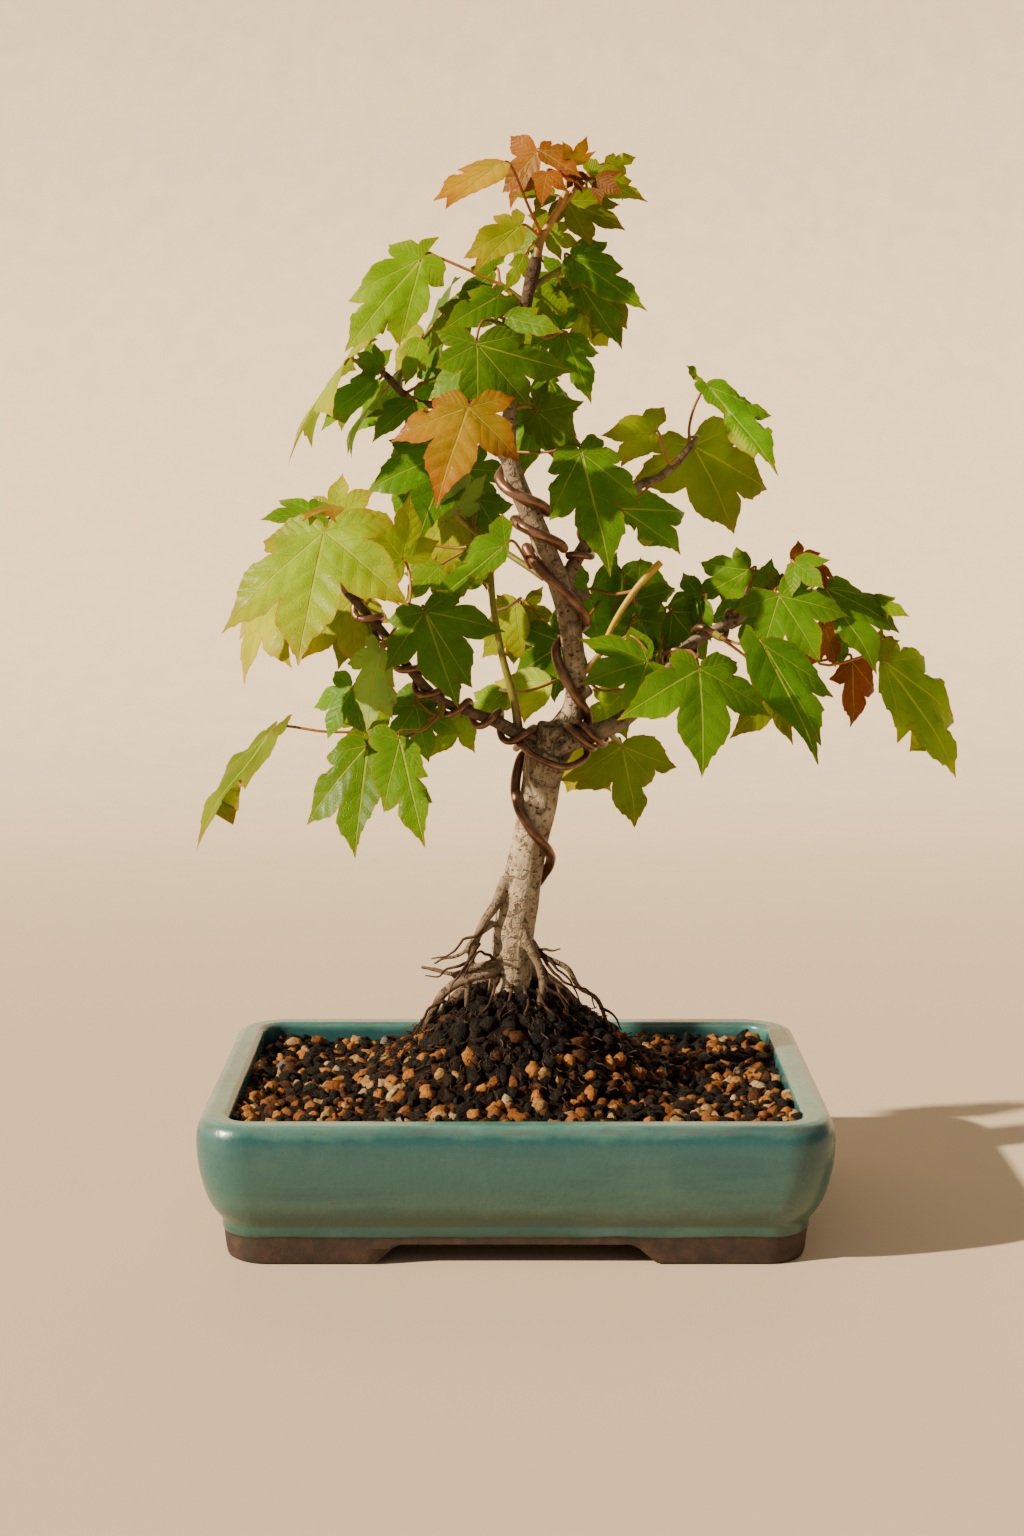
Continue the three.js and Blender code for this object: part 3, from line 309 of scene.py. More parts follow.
DRAIN_STEPS = 40
LIP_ROUND = 0.0022
OUTER_SPAN, LIP_SPAN, INNER_SPAN = 5, 8, 6
# Across and up from a gap's stated width: its flared mouth at the sole, then its chamfered top
GAP_MOUTH = [(0.003, -CUT_MARGIN), (-0.001, 0.001)]
GAP_TOP = [(0.0015, -0.0015), (-0.002, 0)]

# Inset from the largest outline and height, in millimetres: foot, neck, belly and lip, then inside
OUTER_PROFILE = [
    (12.8, 0), (11.5, 0.7), (10.9, 2.4), (10.2, 8), (9.9, 11), (9.6, 11.6), (9.4, 12.2), (9.2, 15.6),
    (8.6, 16.8), (6.9, 19.2), (4.6, 23.2), (2.6, 29), (1, 36), (0.1, 43.5), (0.1, 50), (1, 54.2),
    (2.4, 56.6), (4.6, 57.5),
]
INNER_PROFILE = [(10.9, 57.5), (12.5, 56.5), (13.1, 53.5), (15, 18), (18, 14)]
# Glaze: share of the pot's height and colour there, then its streaks, clouds, specks and edges
GLAZE_DEPTHS = [
    (0.2, 0.014, 0.05, 0.038), (0.27, 0.024, 0.075, 0.06), (0.33, 0.022, 0.062, 0.045),
    (0.44, 0.045, 0.105, 0.09), (0.6, 0.03, 0.096, 0.088), (0.8, 0.025, 0.09, 0.092),
    (0.92, 0.018, 0.08, 0.088), (1.0, 0.075, 0.225, 0.2),
]
GLAZE_STREAK = (0.013, 0.066, 0.078, 1)
GLAZE_CLOUD = (0.075, 0.16, 0.125, 1)
GLAZE_SPECK = (0.02, 0.06, 0.055, 1)
GLAZE_BREAK = (0.075, 0.065, 0.055, 1)
CLAY = [(0.3, 0.01, 0.005, 0.003), (0.55, 0.028, 0.012, 0.007), (0.8, 0.06, 0.03, 0.017)]


def smooth_course(points, per_span=12):
    """Points along a smooth curve through points, its bends spread by the spans' lengths."""
    points = np.asarray(points, dtype=float)
    padded = np.vstack([2 * points[0] - points[1], points, 2 * points[-1] - points[-2]])
    spans = []
    for p0, p1, p2, p3 in zip(padded, padded[1:], padded[2:], padded[3:]):
        d0, d1, d2 = (math.sqrt(np.linalg.norm(b - a)) for a, b in ((p0, p1), (p1, p2), (p2, p3)))
        leave = ((p1 - p0) / d0 - (p2 - p0) / (d0 + d1) + (p2 - p1) / d1) * d1
        arrive = ((p2 - p1) / d1 - (p3 - p1) / (d1 + d2) + (p3 - p2) / d2) * d1
        t = np.linspace(0, 1, per_span, endpoint=False)[:, None]
        square = -3 * p1 + 3 * p2 - 2 * leave - arrive
        cube = 2 * p1 - 2 * p2 + leave + arrive
        spans.append(p1 + leave * t + square * t ** 2 + cube * t ** 3)
    return np.vstack(spans + [points[-1:]])


def pot_ring(inset, height, corner):
    """A rounded rectangle at one height, set in from the pot's largest outline."""
    half_x = POT_LENGTH / 2 - inset - corner
    half_y = POT_WIDTH / 2 - inset - corner
    ring = []
    for sx, sy, start in ((1, 1, 0), (-1, 1, 90), (-1, -1, 180), (1, -1, 270)):
        for step in range(CORNER_STEPS + 1):
            turn = math.radians(start + 90 * step / CORNER_STEPS)
            ring.append((sx * half_x + corner * math.cos(turn),
                         sy * half_y + corner * math.sin(turn)))
        ends = np.array([ring[-1], (corner * math.cos(turn) - sy * half_x,
                                    corner * math.sin(turn) + sx * half_y)])
        ring += [tuple(ends[0] + (ends[1] - ends[0]) * step / SIDE_STEPS)
                 for step in range(1, SIDE_STEPS)]
    return [Vector((POT_MIDDLE.x + x, POT_MIDDLE.y + y, height)) for x, y in ring]


def pot_rings():
    """All rings of the pot, from the sole of the feet over the lip to the floor inside."""
    outer = smooth_course(OUTER_PROFILE, OUTER_SPAN) / 1000
    lip = np.linspace(OUTER_PROFILE[-1], INNER_PROFILE[0], LIP_SPAN)[1:-1] / 1000
    inner = smooth_course(INNER_PROFILE, INNER_SPAN) / 1000
    rings = [pot_ring(inset, height, OUTER_CORNER - inset / 2) for inset, height in outer]
    for step, (inset, height) in enumerate(lip, 1):
        corner = OUTER_CORNER - OUTER_PROFILE[-1][0] / 2000
        rings.append(pot_ring(inset, height, corner + (INNER_CORNER - corner) * step / (len(lip) + 1)))
    rings += [pot_ring(inset, height, INNER_CORNER) for inset, height in inner]
    return rings, np.vstack([outer, lip, inner])


def loft_faces(count, size):
    """Faces of rings of equal point counts, with the two end rings closed."""
    faces = []
    for i in range(count - 1):
        for j in range(size):
            k = (j + 1) % size
            faces.append((i * size + j, i * size + k, (i + 1) * size + k, (i + 1) * size + j))
    return faces + [tuple(range(size - 1, -1, -1)), tuple(range((count - 1) * size, count * size))]


def cutter(name, points, faces):
    piece = new_piece(name, points, faces, [])
    piece.hide_render = True
    return piece


def gap_cutter(name, gap, length, along_x):
    """A prism as wide as the gap between two feet, with chamfered edges."""
    half = [(gap[1] / 2 + across, height) for across, height in GAP_MOUTH]
    half += [(gap[0] / 2 + across, FOOT_HEIGHT + height) for across, height in GAP_TOP]
    outline = half + [(-across, height) for across, height in reversed(half)]
    points = []
    for end in (-length / 2, length / 2):
        for across, height in outline:
            x, y = (end, across) if along_x else (across, end)
            points.append((POT_MIDDLE.x + x, POT_MIDDLE.y + y, height))
    return cutter(name, points, loft_faces(2, len(outline)))


def drain_cutter(side):
    turns = [2 * math.pi * step / DRAIN_STEPS for step in range(DRAIN_STEPS)]
    points = [(POT_MIDDLE.x + side * DRAIN_SPACING / 2 + DRAIN_RADIUS * math.cos(turn),
               POT_MIDDLE.y + DRAIN_RADIUS * math.sin(turn), height)
              for height in DRAIN_CUT for turn in turns]
    return cutter(f"drain_cutter_{side}", points, loft_faces(2, len(turns)))


def with_outward_faces(piece):
    work = bmesh.new()
    work.from_mesh(piece.data)
    bmesh.ops.remove_doubles(work, verts=work.verts, dist=1e-6)
    bmesh.ops.recalc_face_normals(work, faces=work.faces)
    work.to_mesh(piece.data)
    work.free()
    return piece


def applied(piece):
    """The piece with its modifiers made part of its mesh."""
    depsgraph = bpy.context.evaluated_depsgraph_get()
    mesh = bpy.data.meshes.new_from_object(piece.evaluated_get(depsgraph))
    piece.modifiers.clear()
    piece.data = mesh
    return piece


def cut(piece, cutters):
    for tool in cutters:
        with_outward_faces(tool)
        modifier = piece.modifiers.new(tool.name, "BOOLEAN")
        modifier.operation = "DIFFERENCE"
        modifier.solver = "EXACT"
        modifier.object = tool
    applied(piece)
    for tool in cutters:
        bpy.data.objects.remove(tool)
    return piece


def glaze_finish(lip_out, lip_in):
    """Glaze and bare clay. The piece's UV map runs round the pot and up its profile."""
    graph, place = new_finish("turquoise_glaze")
    height = graph.part(place, "Z")
    along_profile = graph.part(graph.add("ShaderNodeUVMap", uv_map="course").outputs[0], "Y")

    cloud = graph.noise(place, 28.0, 4.0, 0.6)
    speck = graph.noise(place, 900.0, 2.0)
    streak = graph.noise(graph.stretched(place, (16, 16, 120)), 1.0, 4.0, 0.6)
    level = graph.plus(height, graph.times(graph.minus(cloud, 0.5), 0.012))
    depth = graph.ramp(graph.math("DIVIDE", level, RIM_HEIGHT), GLAZE_DEPTHS)
    streaked = graph.mix(graph.between(streak, 0.46, 0.66, 0.0, 0.6), depth, GLAZE_STREAK)
    mottled = graph.mix(graph.between(cloud, 0.48, 0.72, 0.0, 0.32), streaked, GLAZE_CLOUD)
    speckled = graph.mix(graph.between(speck, 0.62, 0.75, 0.0, 0.4), mottled, GLAZE_SPECK)

    wander = graph.times(graph.minus(graph.noise(place, 90.0, 3.0), 0.5), 0.003)
    course = graph.plus(along_profile, wander)
    breaks = [graph.between(graph.math("ABSOLUTE", graph.minus(course, edge)), near, far, 1.0, 0.0)
              for edge, near, far in ((lip_out, 0.0003, 0.002), (lip_in, 0.0002, 0.0012))]
    patch = graph.between(graph.noise(place, 55.0, 2.0), 0.35, 0.65)
    thin = graph.times(graph.math("MAXIMUM", *breaks), graph.scaled(patch, 0.6, 0.35))
    broken = graph.mix(graph.times(thin, 0.7), speckled, GLAZE_BREAK)

    wave = graph.noise(graph.stretched(place, (1, 1, 0.2)), 45.0, 3.0)
    line = graph.scaled(wave, GLAZE_WAVE, GLAZE_END - GLAZE_WAVE / 2)
    glazed = graph.between(height, graph.minus(line, 0.0002), graph.plus(line, 0.0002))
    under = graph.noise(place, 160.0, 5.0, 0.6)
    shine = graph.scaled(cloud, 0.14, 0.2)
    relief = graph.plus(graph.times(glazed, 0.6), graph.times(under, 0.35))
    pits = graph.bump(graph.noise(place, 420.0, 2.0), 0.00012)
    return graph.coat({
        "Base Color": graph.mix(glazed, graph.ramp(under, CLAY), broken),
        "Roughness": graph.scaled(graph.minus(1.0, glazed), 0.45, shine),
        "Specular IOR Level": 0.55, "Normal": graph.bump(relief, 0.0004, pits)})


def lay_course(piece, rings, walls):
    """UV map in metres: round the pot and along its profile."""
    size = len(rings[0])
    steps = np.linalg.norm(np.diff(walls, axis=0), axis=1)
    up = np.concatenate([[0], np.cumsum(steps)])
    layer = piece.data.uv_layers.new(name="course")
    for face in piece.data.polygons:
        whole = len(face.vertices) == 4
        last_column = whole and max(v % size for v in face.vertices) == size - 1
        for loop in face.loop_indices:
            ring, column = divmod(piece.data.loops[loop].vertex_index, size)
            if last_column and column == 0:
                column = size
            layer.data[loop].uv = (column / size, up[ring])
    return up


rings, walls = pot_rings()
wobbled = []
for ring in rings:
    for point in ring:
        inward = Vector((POT_MIDDLE.x - point.x, POT_MIDDLE.y - point.y, 0)).normalized()
        wobbled.append(point + inward * HAND_WOBBLE * (0.5 + 0.5 * noise.noise(point * 18)))
pot = new_piece("glazed_pot", wobbled, loft_faces(len(rings), len(rings[0])), [])
up = lay_course(pot, rings, walls)
outer_edge = up[int(np.argmax(walls[:, 1] > RIM_HEIGHT - LIP_ROUND))]
inner_edge = up[len(up) - len(smooth_course(INNER_PROFILE, INNER_SPAN)) + INNER_SPAN // 2]
pot.data.materials.append(glaze_finish(outer_edge, inner_edge))
recess_inset = FOOT_INSET + FOOT_BREADTH
recess_points = [point for height in (-CUT_MARGIN, FOOT_HEIGHT)
                 for point in pot_ring(recess_inset, height, RECESS_CORNER)]
recess = cutter("recess", recess_points, loft_faces(2, len(recess_points) // 2))
cut(pot, [recess, gap_cutter("front_gap", FRONT_GAP, POT_WIDTH + 0.01, False),
          gap_cutter("side_gap", SIDE_GAP, POT_LENGTH + 0.01, True), drain_cutter(-1), drain_cutter(1)])
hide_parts("pot")
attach(pot, "root")


# Drain meshes. Squares of black plastic net under the soil, seen through the drain holes. The
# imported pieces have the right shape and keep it.
def plastic_finish():
    graph, place = new_finish("plastic_mesh")
    patchy = graph.mix(graph.noise(place, 600.0), (0.012, 0.014, 0.016, 1), (0.03, 0.033, 0.036, 1))
    return graph.coat({"Base Color": patchy, "Roughness": 0.55,
                       "Normal": graph.bump(graph.noise(place, 900.0), 0.0001)})


plastic = plastic_finish()
for side in ("left", "right"):
    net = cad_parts[f"drain_mesh_{side}"]
    net.data.materials.clear()
    net.data.materials.append(plastic)


# Soil. A loose mix of fired clay, pumice and dark lava grains, with bark crumbs and black root
# fibre. It fills the pot to just under the lip and rises to a dark mound of roots at the trunk.
SOIL_LEVEL = 0.053
SOIL_FALL = 0.03
MOUND_TOP = 0.0925
MOUND_FLAT = 0.015
MOUND_SLOPE = 0.75
MOUND_FOOT = 0.002
MOUND_FOOT_REACH = 0.005
# The soil is heaped unevenly towards the back, fully so at this distance
BACK_RISE = 0.0022
BACK_REACH = 0.07
HEAP_SHARE, HEAP_SWAY, HEAP_FREQUENCY = 0.6, 0.9, 30
SOIL_GAP = 0.00035
SOIL_INSET = 0.0131 + SOIL_GAP
BED_RINGS = 60
BED_SINK = 0.0022
# Frequency and height of the bed's lumps, and of those that grow with the mound
BED_LUMPS = (130, 0.0008)
MOUND_LUMPS = [(60, 0.0035), (240, 0.0015)]
# Inset and height of the bed's sides, from under its edge down to the pot's floor
BED_SIDES = [(SOIL_INSET + 0.00045, 0.045), (WALL_INSET + SOIL_GAP, 0.0183),
             (WALL_INSET + 0.003 + SOIL_GAP, FLOOR_HEIGHT + SOIL_GAP + 0.002)]


# Colours of the grains by their tone, then of the painted shade laid over them in patches, and of their
# specks and dust
LAVA_END = 0.54
GRAIN_KINDS = [
    (0.0, 0.0025, 0.002, 0.0015), (0.24, 0.006, 0.004, 0.003),
    (0.42, 0.016, 0.008, 0.005), (LAVA_END, 0.075, 0.028, 0.009),
    (0.62, 0.22, 0.072, 0.014), (0.71, 0.42, 0.16, 0.032), (0.8, 0.28, 0.1, 0.025),
    (0.88, 0.42, 0.24, 0.085), (0.955, 0.5, 0.38, 0.22), (0.98, 0.16, 0.15, 0.14),
]
GRAIN_SHADE = (0.35, 0.3, 0.27, 1)
LAVA_SPECKLE = (0.075, 0.055, 0.04, 1)
GRAIN_DUST = (0.2, 0.12, 0.06, 1)


def soil_height(x, y):
    """Height of the soil at a place measured from the middle of the pot."""
    sway = HEAP_SWAY * noise.noise(Vector((x, y, 0)) * HEAP_FREQUENCY)
    heap = max(0, min(1, y / BACK_REACH)) * (HEAP_SHARE + sway)
    level = SOIL_LEVEL - y * SOIL_FALL + BACK_RISE * heap
    mound = MOUND_TOP - MOUND_SLOPE * max(0, math.hypot(x, y) - MOUND_FLAT)
    return max(level, mound) + MOUND_FOOT * math.exp(-abs(mound - level) / MOUND_FOOT_REACH)


def soil_rings():
    """Rings of the soil's surface from its middle out to the pot's wall."""
    edge = pot_ring(SOIL_INSET, 0, INNER_CORNER)
    rings = []
    for step in range(1, BED_RINGS + 1):
        share = step / BED_RINGS
        ring = []
        for point in edge:
            x = (point.x - POT_MIDDLE.x) * share
            y = (point.y - POT_MIDDLE.y) * share
            place = Vector((x, y, 0))
            above = min(1, max(0, (soil_height(x, y) - SOIL_LEVEL) / (MOUND_TOP - SOIL_LEVEL)))
            lumps = noise.noise(place * BED_LUMPS[0]) * BED_LUMPS[1]
            lumps += sum(noise.noise(place * often) * high * above for often, high in MOUND_LUMPS)
            ring.append(POT_MIDDLE + Vector((x, y, soil_height(x, y) - BED_SINK + lumps)))
        rings.append(ring)
    return rings


# The bed lies just under the grains and is near black: partly the soil below them, partly painted shade for
# the gaps between the grains.
def soil_bed_finish():
    graph, place = new_finish("soil_bed")
    crumb = graph.noise(place, 300.0, 6.0, 0.65)
    tone = graph.ramp(crumb, [
        (0.3, 0.003, 0.002, 0.0015), (0.55, 0.012, 0.007, 0.004), (0.72, 0.04, 0.02, 0.01)])
    return graph.coat({"Base Color": tone, "Roughness": 0.95, "Specular IOR Level": 0.1,
                       "Normal": graph.bump(crumb, 0.0016)})


rings = soil_rings()
size = len(rings[0])
surface_points = [point for ring in rings for point in ring]
surface_points.append(POT_MIDDLE + Vector((0, 0, soil_height(0, 0) - BED_SINK)))
surface_faces = [(a, d, c, b) for a, b, c, d in loft_faces(len(rings), size)[:-2]]
surface_faces += [(j, (j + 1) % size, len(rings) * size) for j in range(size)]
first_below = len(surface_points)
below = [point for inset, height in BED_SIDES for point in pot_ring(inset, height, INNER_CORNER)]
wall_rings = [(len(rings) - 1) * size, *(first_below + size * side for side in range(len(BED_SIDES)))]
bed_faces = list(surface_faces)
for upper, lower in zip(wall_rings, wall_rings[1:]):
    for j in range(size):
        k = (j + 1) % size
        bed_faces.append((upper + j, lower + j, lower + k, upper + k))
bed_faces.append(tuple(wall_rings[-1] + j for j in range(size - 1, -1, -1)))
bed_points = surface_points + below
bed = with_outward_faces(new_piece("soil_bed", bed_points, bed_faces, [soil_bed_finish()]))
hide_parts("soil")
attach(bed, "root")


def grain_finish():
    """Grains take their kind from their tone: lava, then bark, fired clay, pumice and grey stone."""
    graph, place = new_finish("soil_grains")
    tone = graph.attribute("tone")
    rough = graph.noise(place, 700.0, 5.0, 0.65)
    kind = graph.ramp(tone, GRAIN_KINDS, "CONSTANT")
    # Painted shade: a darker copy of each grain's colour, laid over it in patches.
    shaded = graph.mix(1.0, kind, GRAIN_SHADE, "MULTIPLY")
    patchy = graph.mix(graph.between(rough, 0.35, 0.65, 0.0, 0.7), kind, shaded)
    speckle = graph.between(graph.noise(place, 1200.0, 4.0, 0.7), 0.52, 0.66, 0.0, 0.45)
    lava = graph.math("LESS_THAN", tone, LAVA_END)
    patchy = graph.mix(graph.times(lava, speckle), patchy, LAVA_SPECKLE)
    dust = graph.between(graph.noise(place, 260.0, 3.0), 0.6, 0.85, 0.0, 0.22)
    return graph.coat({"Base Color": graph.mix(dust, patchy, GRAIN_DUST), "Roughness": 0.7,
                       "Specular IOR Level": 0.15, "Normal": graph.bump(rough, 0.0013)})


def new_scatter(name, inputs):
    """An empty Geometry Nodes tree with a mesh and the named sizes as its inputs."""
    tree = bpy.data.node_groups.new(name, "GeometryNodeTree")
    tree.interface.new_socket("Geometry", in_out="INPUT", socket_type="NodeSocketGeometry")
    for label, kind in inputs.items():
        tree.interface.new_socket(label, in_out="INPUT", socket_type=f"NodeSocket{kind}")
    tree.interface.new_socket("Geometry", in_out="OUTPUT", socket_type="NodeSocketGeometry")
    graph = Graph(tree)
    return graph, graph.add("NodeGroupInput").outputs


def random_value(graph, low, high, seed, kind="FLOAT"):
    """Random number or vector of each element."""
    first = 0 if kind == "FLOAT_VECTOR" else 2
    inputs = {first: low, first + 1: high, 8: seed}
    return graph.add("FunctionNodeRandomValue", inputs, data_type=kind).outputs[first // 2]


def spread_points(graph, given, densest, **inputs):
    """Points that keep the given spacing on the given mesh."""
    return graph.add("GeometryNodeDistributePointsOnFaces", {
        "Mesh": given["Geometry"], "Distance Min": given["Spacing"], "Density Max": densest,
        "Seed": given["Seed"], **inputs}, distribute_method="POISSON").outputs["Points"]


def stirred(graph, shape, place, strength, scale, detail, centre):
    """The shape with its points moved by a cloud of vectors."""
    wave = graph.add("ShaderNodeTexNoise", {"Vector": place, "Scale": scale, "Detail": detail})
    inputs = {0: graph.vector("SUBTRACT", wave.outputs[1], centre), "Scale": strength}
    moved = graph.add("ShaderNodeVectorMath", inputs, operation="SCALE")
    inputs = {"Geometry": shape, "Offset": moved.outputs[0]}
    return graph.add("GeometryNodeSetPosition", inputs).outputs[0]


def swept(graph, line, radius, sides):
    """A round rod along a line, closed at its ends."""
    ring = graph.add("GeometryNodeCurvePrimitiveCircle", {"Resolution": sides, "Radius": radius})
    return graph.add("GeometryNodeCurveToMesh", {
        "Curve": line, "Profile Curve": ring.outputs[0], "Fill Caps": True}).outputs[0]


def finished(graph, shape, material):
    """Ends a tree with one smooth, plain mesh of one material."""
    smooth = graph.add("GeometryNodeSetShadeSmooth", {"Geometry": shape})
    real = graph.add("GeometryNodeRealizeInstances", {0: smooth.outputs[0]})
    inputs = {"Geometry": real.outputs[0], "Material": material}
    painted = graph.add("GeometryNodeSetMaterial", inputs)
    graph.add("NodeGroupOutput", {0: painted.outputs[0]})
    return graph.tree


def run_nodes(piece, tree, values):
    """Runs a Geometry Nodes tree on a piece and keeps the result as its plain mesh."""
    modifier = piece.modifiers.new(tree.name, "NODES")
    modifier.node_group = tree
    for item in tree.interface.items_tree:
        if item.in_out == "INPUT" and item.name in values:
            modifier[item.identifier] = values[item.name]
    return applied(piece)


def grain_tree(material):
    """Grains lie close together on a surface. Those on the mound are a little larger and dark."""
    graph, given = new_scatter("grains", {
        "Spacing": "Float", "Smallest": "Float", "Largest": "Float", "Lumpiness": "Float",
        "Mound Height": "Float", "Seed": "Int"})
    place = graph.add("GeometryNodeInputPosition").outputs[0]
    mound = given["Mound Height"]
    on_mound = graph.between(graph.part(place, "Z"), mound, graph.plus(mound, 0.012))
    big = graph.math("POWER", random_value(graph, 0.0, 1.0, 11), 1.4)
    size = graph.scaled(big, graph.minus(given["Largest"], given["Smallest"]), given["Smallest"])
    size = graph.times(size, graph.scaled(on_mound, 0.1, 1.0))
    flat = graph.add("ShaderNodeCombineXYZ", {
        0: size, 1: graph.times(size, random_value(graph, 0.6, 1.0, 12)),
        2: graph.times(size, random_value(graph, 0.42, 0.85, 13))})
    ball = graph.add("GeometryNodeMeshIcoSphere", {"Radius": 0.5, "Subdivisions": 2})
    grains = graph.add("GeometryNodeInstanceOnPoints", {
        "Points": spread_points(graph, given, 90000.0), "Instance": ball.outputs[0],
        "Rotation": random_value(graph, (0, 0, 0), (6.28, 6.28, 6.28), 14, "FLOAT_VECTOR"),
        "Scale": flat.outputs[0]})
    tone = graph.times(random_value(graph, 0.0, 1.0, 15), graph.scaled(on_mound, -0.4, 1.0))
    inputs = {"Geometry": grains.outputs[0], "Name": "tone", "Value": tone}
    marked = graph.add("GeometryNodeStoreNamedAttribute", inputs, data_type="FLOAT", domain="INSTANCE")
    real = graph.add("GeometryNodeRealizeInstances", {0: marked.outputs[0]}).outputs[0]
    shaped = stirred(graph, real, place, given["Lumpiness"], 400.0, 2.5, (0.5, 0.5, 0.5))
    return finished(graph, shaped, material)


grain_material = grain_finish()
grains = new_piece("soil_grains", surface_points, surface_faces, [grain_material])
run_nodes(grains, grain_tree(grain_material), {
    "Spacing": 0.0037, "Smallest": 0.0046, "Largest": 0.0092, "Lumpiness": 0.0054,
    "Mound Height": 0.064, "Seed": 5})
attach(grains, "root")


# Tree. Trunk, leader, branches, cut stubs and surface roots, grown as one piece. Pale grey bark
# with dark breathing pores on the trunk, rough and fissured bark at the fork, brown twigs and roots.
# Each row holds the pixel where a limb is seen, its depth and its radius in millimetres.
TRUNK_ROUTE = [
    (509, 1034, 1, 12), (509, 1004, 0, 10.4), (510, 985, 0, 8.9), (514, 930, -1, 8.7),
    (519, 900, -1, 8.4), (527, 856, -1, 7.5), (536, 815, -1, 7.6), (541, 785, 0, 8.1),
    (547, 757, 0, 9.2), (560, 735, 2, 7.4), (573, 712, 3, 4.7), (576, 690, 3, 4.4),
    (574, 660, 2, 4.6), (568, 615, 0, 4.6), (556, 575, -1, 4.5), (545, 548, -2, 4.4),
    (531, 515, -2, 4.4), (519, 488, -2, 4), (509, 455, -1, 3.6), (508, 430, 0, 3.3),
    (512, 400, 1, 3.1), (518, 355, 2, 2.9), (523, 320, 2, 2.7), (529, 290, 2, 2.6),
    (534, 268, 2, 3), (536, 257, 2, 2.2),
]
LEFT_BRANCH_ROUTE = [
    (546, 752, 0, 4.8), (530, 741, -3, 4), (516, 733, -4, 3.2), (497, 722, -6, 2.6),
    (470, 712, -9, 2.2), (440, 700, -12, 2.1), (412, 672, -16, 2), (385, 635, -20, 1.9),
    (365, 612, -24, 1.9), (345, 590, -28, 1.8),
]
RIGHT_BRANCH_ROUTE = [
    (551, 753, -3, 4.6), (566, 744, -7, 4.3), (585, 736, -7, 4), (616, 724, -4, 3.7),
    (645, 700, 4, 3), (683, 651, 11, 2.7), (706, 635, 13, 2.5), (740, 617, 13, 2.3),
    (756, 602, 12, 2.1), (785, 575, 10, 1.8),
]
UPPER_RIGHT_ROUTE = [
    (563, 592, 0, 3.2), (572, 568, 3, 3), (585, 545, 6, 2.7), (600, 520, 8, 2.5),
    (638, 486, 11, 2.1), (660, 477, 13, 1.9), (676, 463, 15, 1.8), (693, 443, 17, 1.6),
]
UPPER_LEFT_ROUTE = [
    (512, 404, 1, 2.4), (480, 404, 6, 2.1), (445, 404, 9, 1.9), (420, 404, 10, 1.8),
    (405, 395, 10, 1.7), (385, 374, 8, 1.6),
]
STUB_ROUTES = [
    [(547, 762, 0, 8.6), (552, 742, -1, 8.2), (553, 724, -2, 6.6)],
    [(574, 694, 2, 3.4), (586, 690, 1, 3.2), (590, 687, 1, 2.4)],
    [(510, 462, -1, 3), (500, 450, -3, 2.8), (492, 444, -4, 2.2)],
    [(566, 590, 1, 3), (583, 596, 2, 2.6), (588, 592, 2, 1.6)],
]
ROOT_ROUTES = [
    [(507, 878, -4, 3.2), (497, 902, -8, 2.6), (483, 924, -9, 2.1), (474, 947, -10, 1.9),
        (470, 966, -9, 1.8), (468, 992, -8, 1.7), (467, 1008, -6, 1.4)],
    [(506, 955, -5, 2.2), (493, 962, -9, 1.7), (472, 968, -10, 1.5), (453, 974, -8, 1.3),
        (436, 970, -4, 1.2), (421, 967, 0, 1)],
    [(503, 966, -4, 4), (489, 972, -7, 3.2), (466, 978, -8, 2.6), (443, 994, -7, 2.2),
        (434, 1010, -5, 2), (426, 1028, -3, 1.8), (423, 1044, -2, 1.6)],
    [(494, 922, -5, 2), (474, 939, -9, 1.3), (464, 952, -9, 1.1), (453, 957, -7, 1),
        (444, 958, -5, 1), (434, 964, -2, 0.8)],
    [(522, 930, -6, 3), (529, 947, -10, 2.4), (539, 966, -12, 2.1), (543, 987, -14, 1.9),
        (537, 1010, -17, 1.7), (528, 1036, -20, 1.5)],
    [(532, 944, -3, 2.4), (543, 956, -7, 1.6), (567, 968, -9, 1.4), (579, 987, -8, 1.3),
        (596, 998, -5, 1.2), (607, 1024, -2, 1.2), (611, 1040, -1, 1)],
    [(513, 962, 2, 5), (540, 976, 9, 3.8), (566, 994, 13, 2.8), (588, 1018, 15, 2.2)],
    [(508, 962, 3, 5), (488, 976, 11, 3.6), (462, 992, 17, 2.8), (440, 1014, 20, 2.2)],
    [(511, 966, 4, 5), (516, 972, 14, 3.8), (520, 988, 24, 2.8), (524, 1006, 33, 2.2)],
]

PER_SPAN = 12
BARK_CELL = 0.0007
# How brown the bark is, from 0 on the pale trunk to 1 on roots and twigs
TRUNK_TONE = 0.0
LEADER_TONE = 0.45
BRANCH_TONE = 0.7
STUB_TONES = (0.3, 0.6, 0.6, 0.6)
ROOT_SHARE = 0.88
TWIG_TONE = 1.0
# Heights at which the trunk's tone changes, and its tones there
TRUNK_TONES = [(0.15, TRUNK_TONE), (0.2, 0.15), (0.24, LEADER_TONE), (0.33, LEADER_TONE),
               (0.355, BRANCH_TONE), (0.375, TWIG_TONE)]
ROOT_TONES = (0.5, 1.0)
# Heights between which the wood turns clean of soil
STAIN = (0.066, 0.092)
PALE_BARK = [(0.3, 0.25, 0.178, 0.11), (0.5, 0.44, 0.34, 0.23), (0.7, 0.63, 0.52, 0.375)]
BROWN_BARK = [(0.3, 0.04, 0.021, 0.012), (0.55, 0.085, 0.047, 0.026),
              (0.75, 0.16, 0.098, 0.055)]
LIMB_SIDES = 20
LIMB_OFFSET = 0.37
POINT_BLOCK = 2000
RELAX_ROUNDS = 4
# The fork's rough, cracked bark: where it is seen, how far it is fully rough and where it ends
FORK = (550, 742, 0)
FORK_FULL = 1.35
FORK_FADE = 0.016


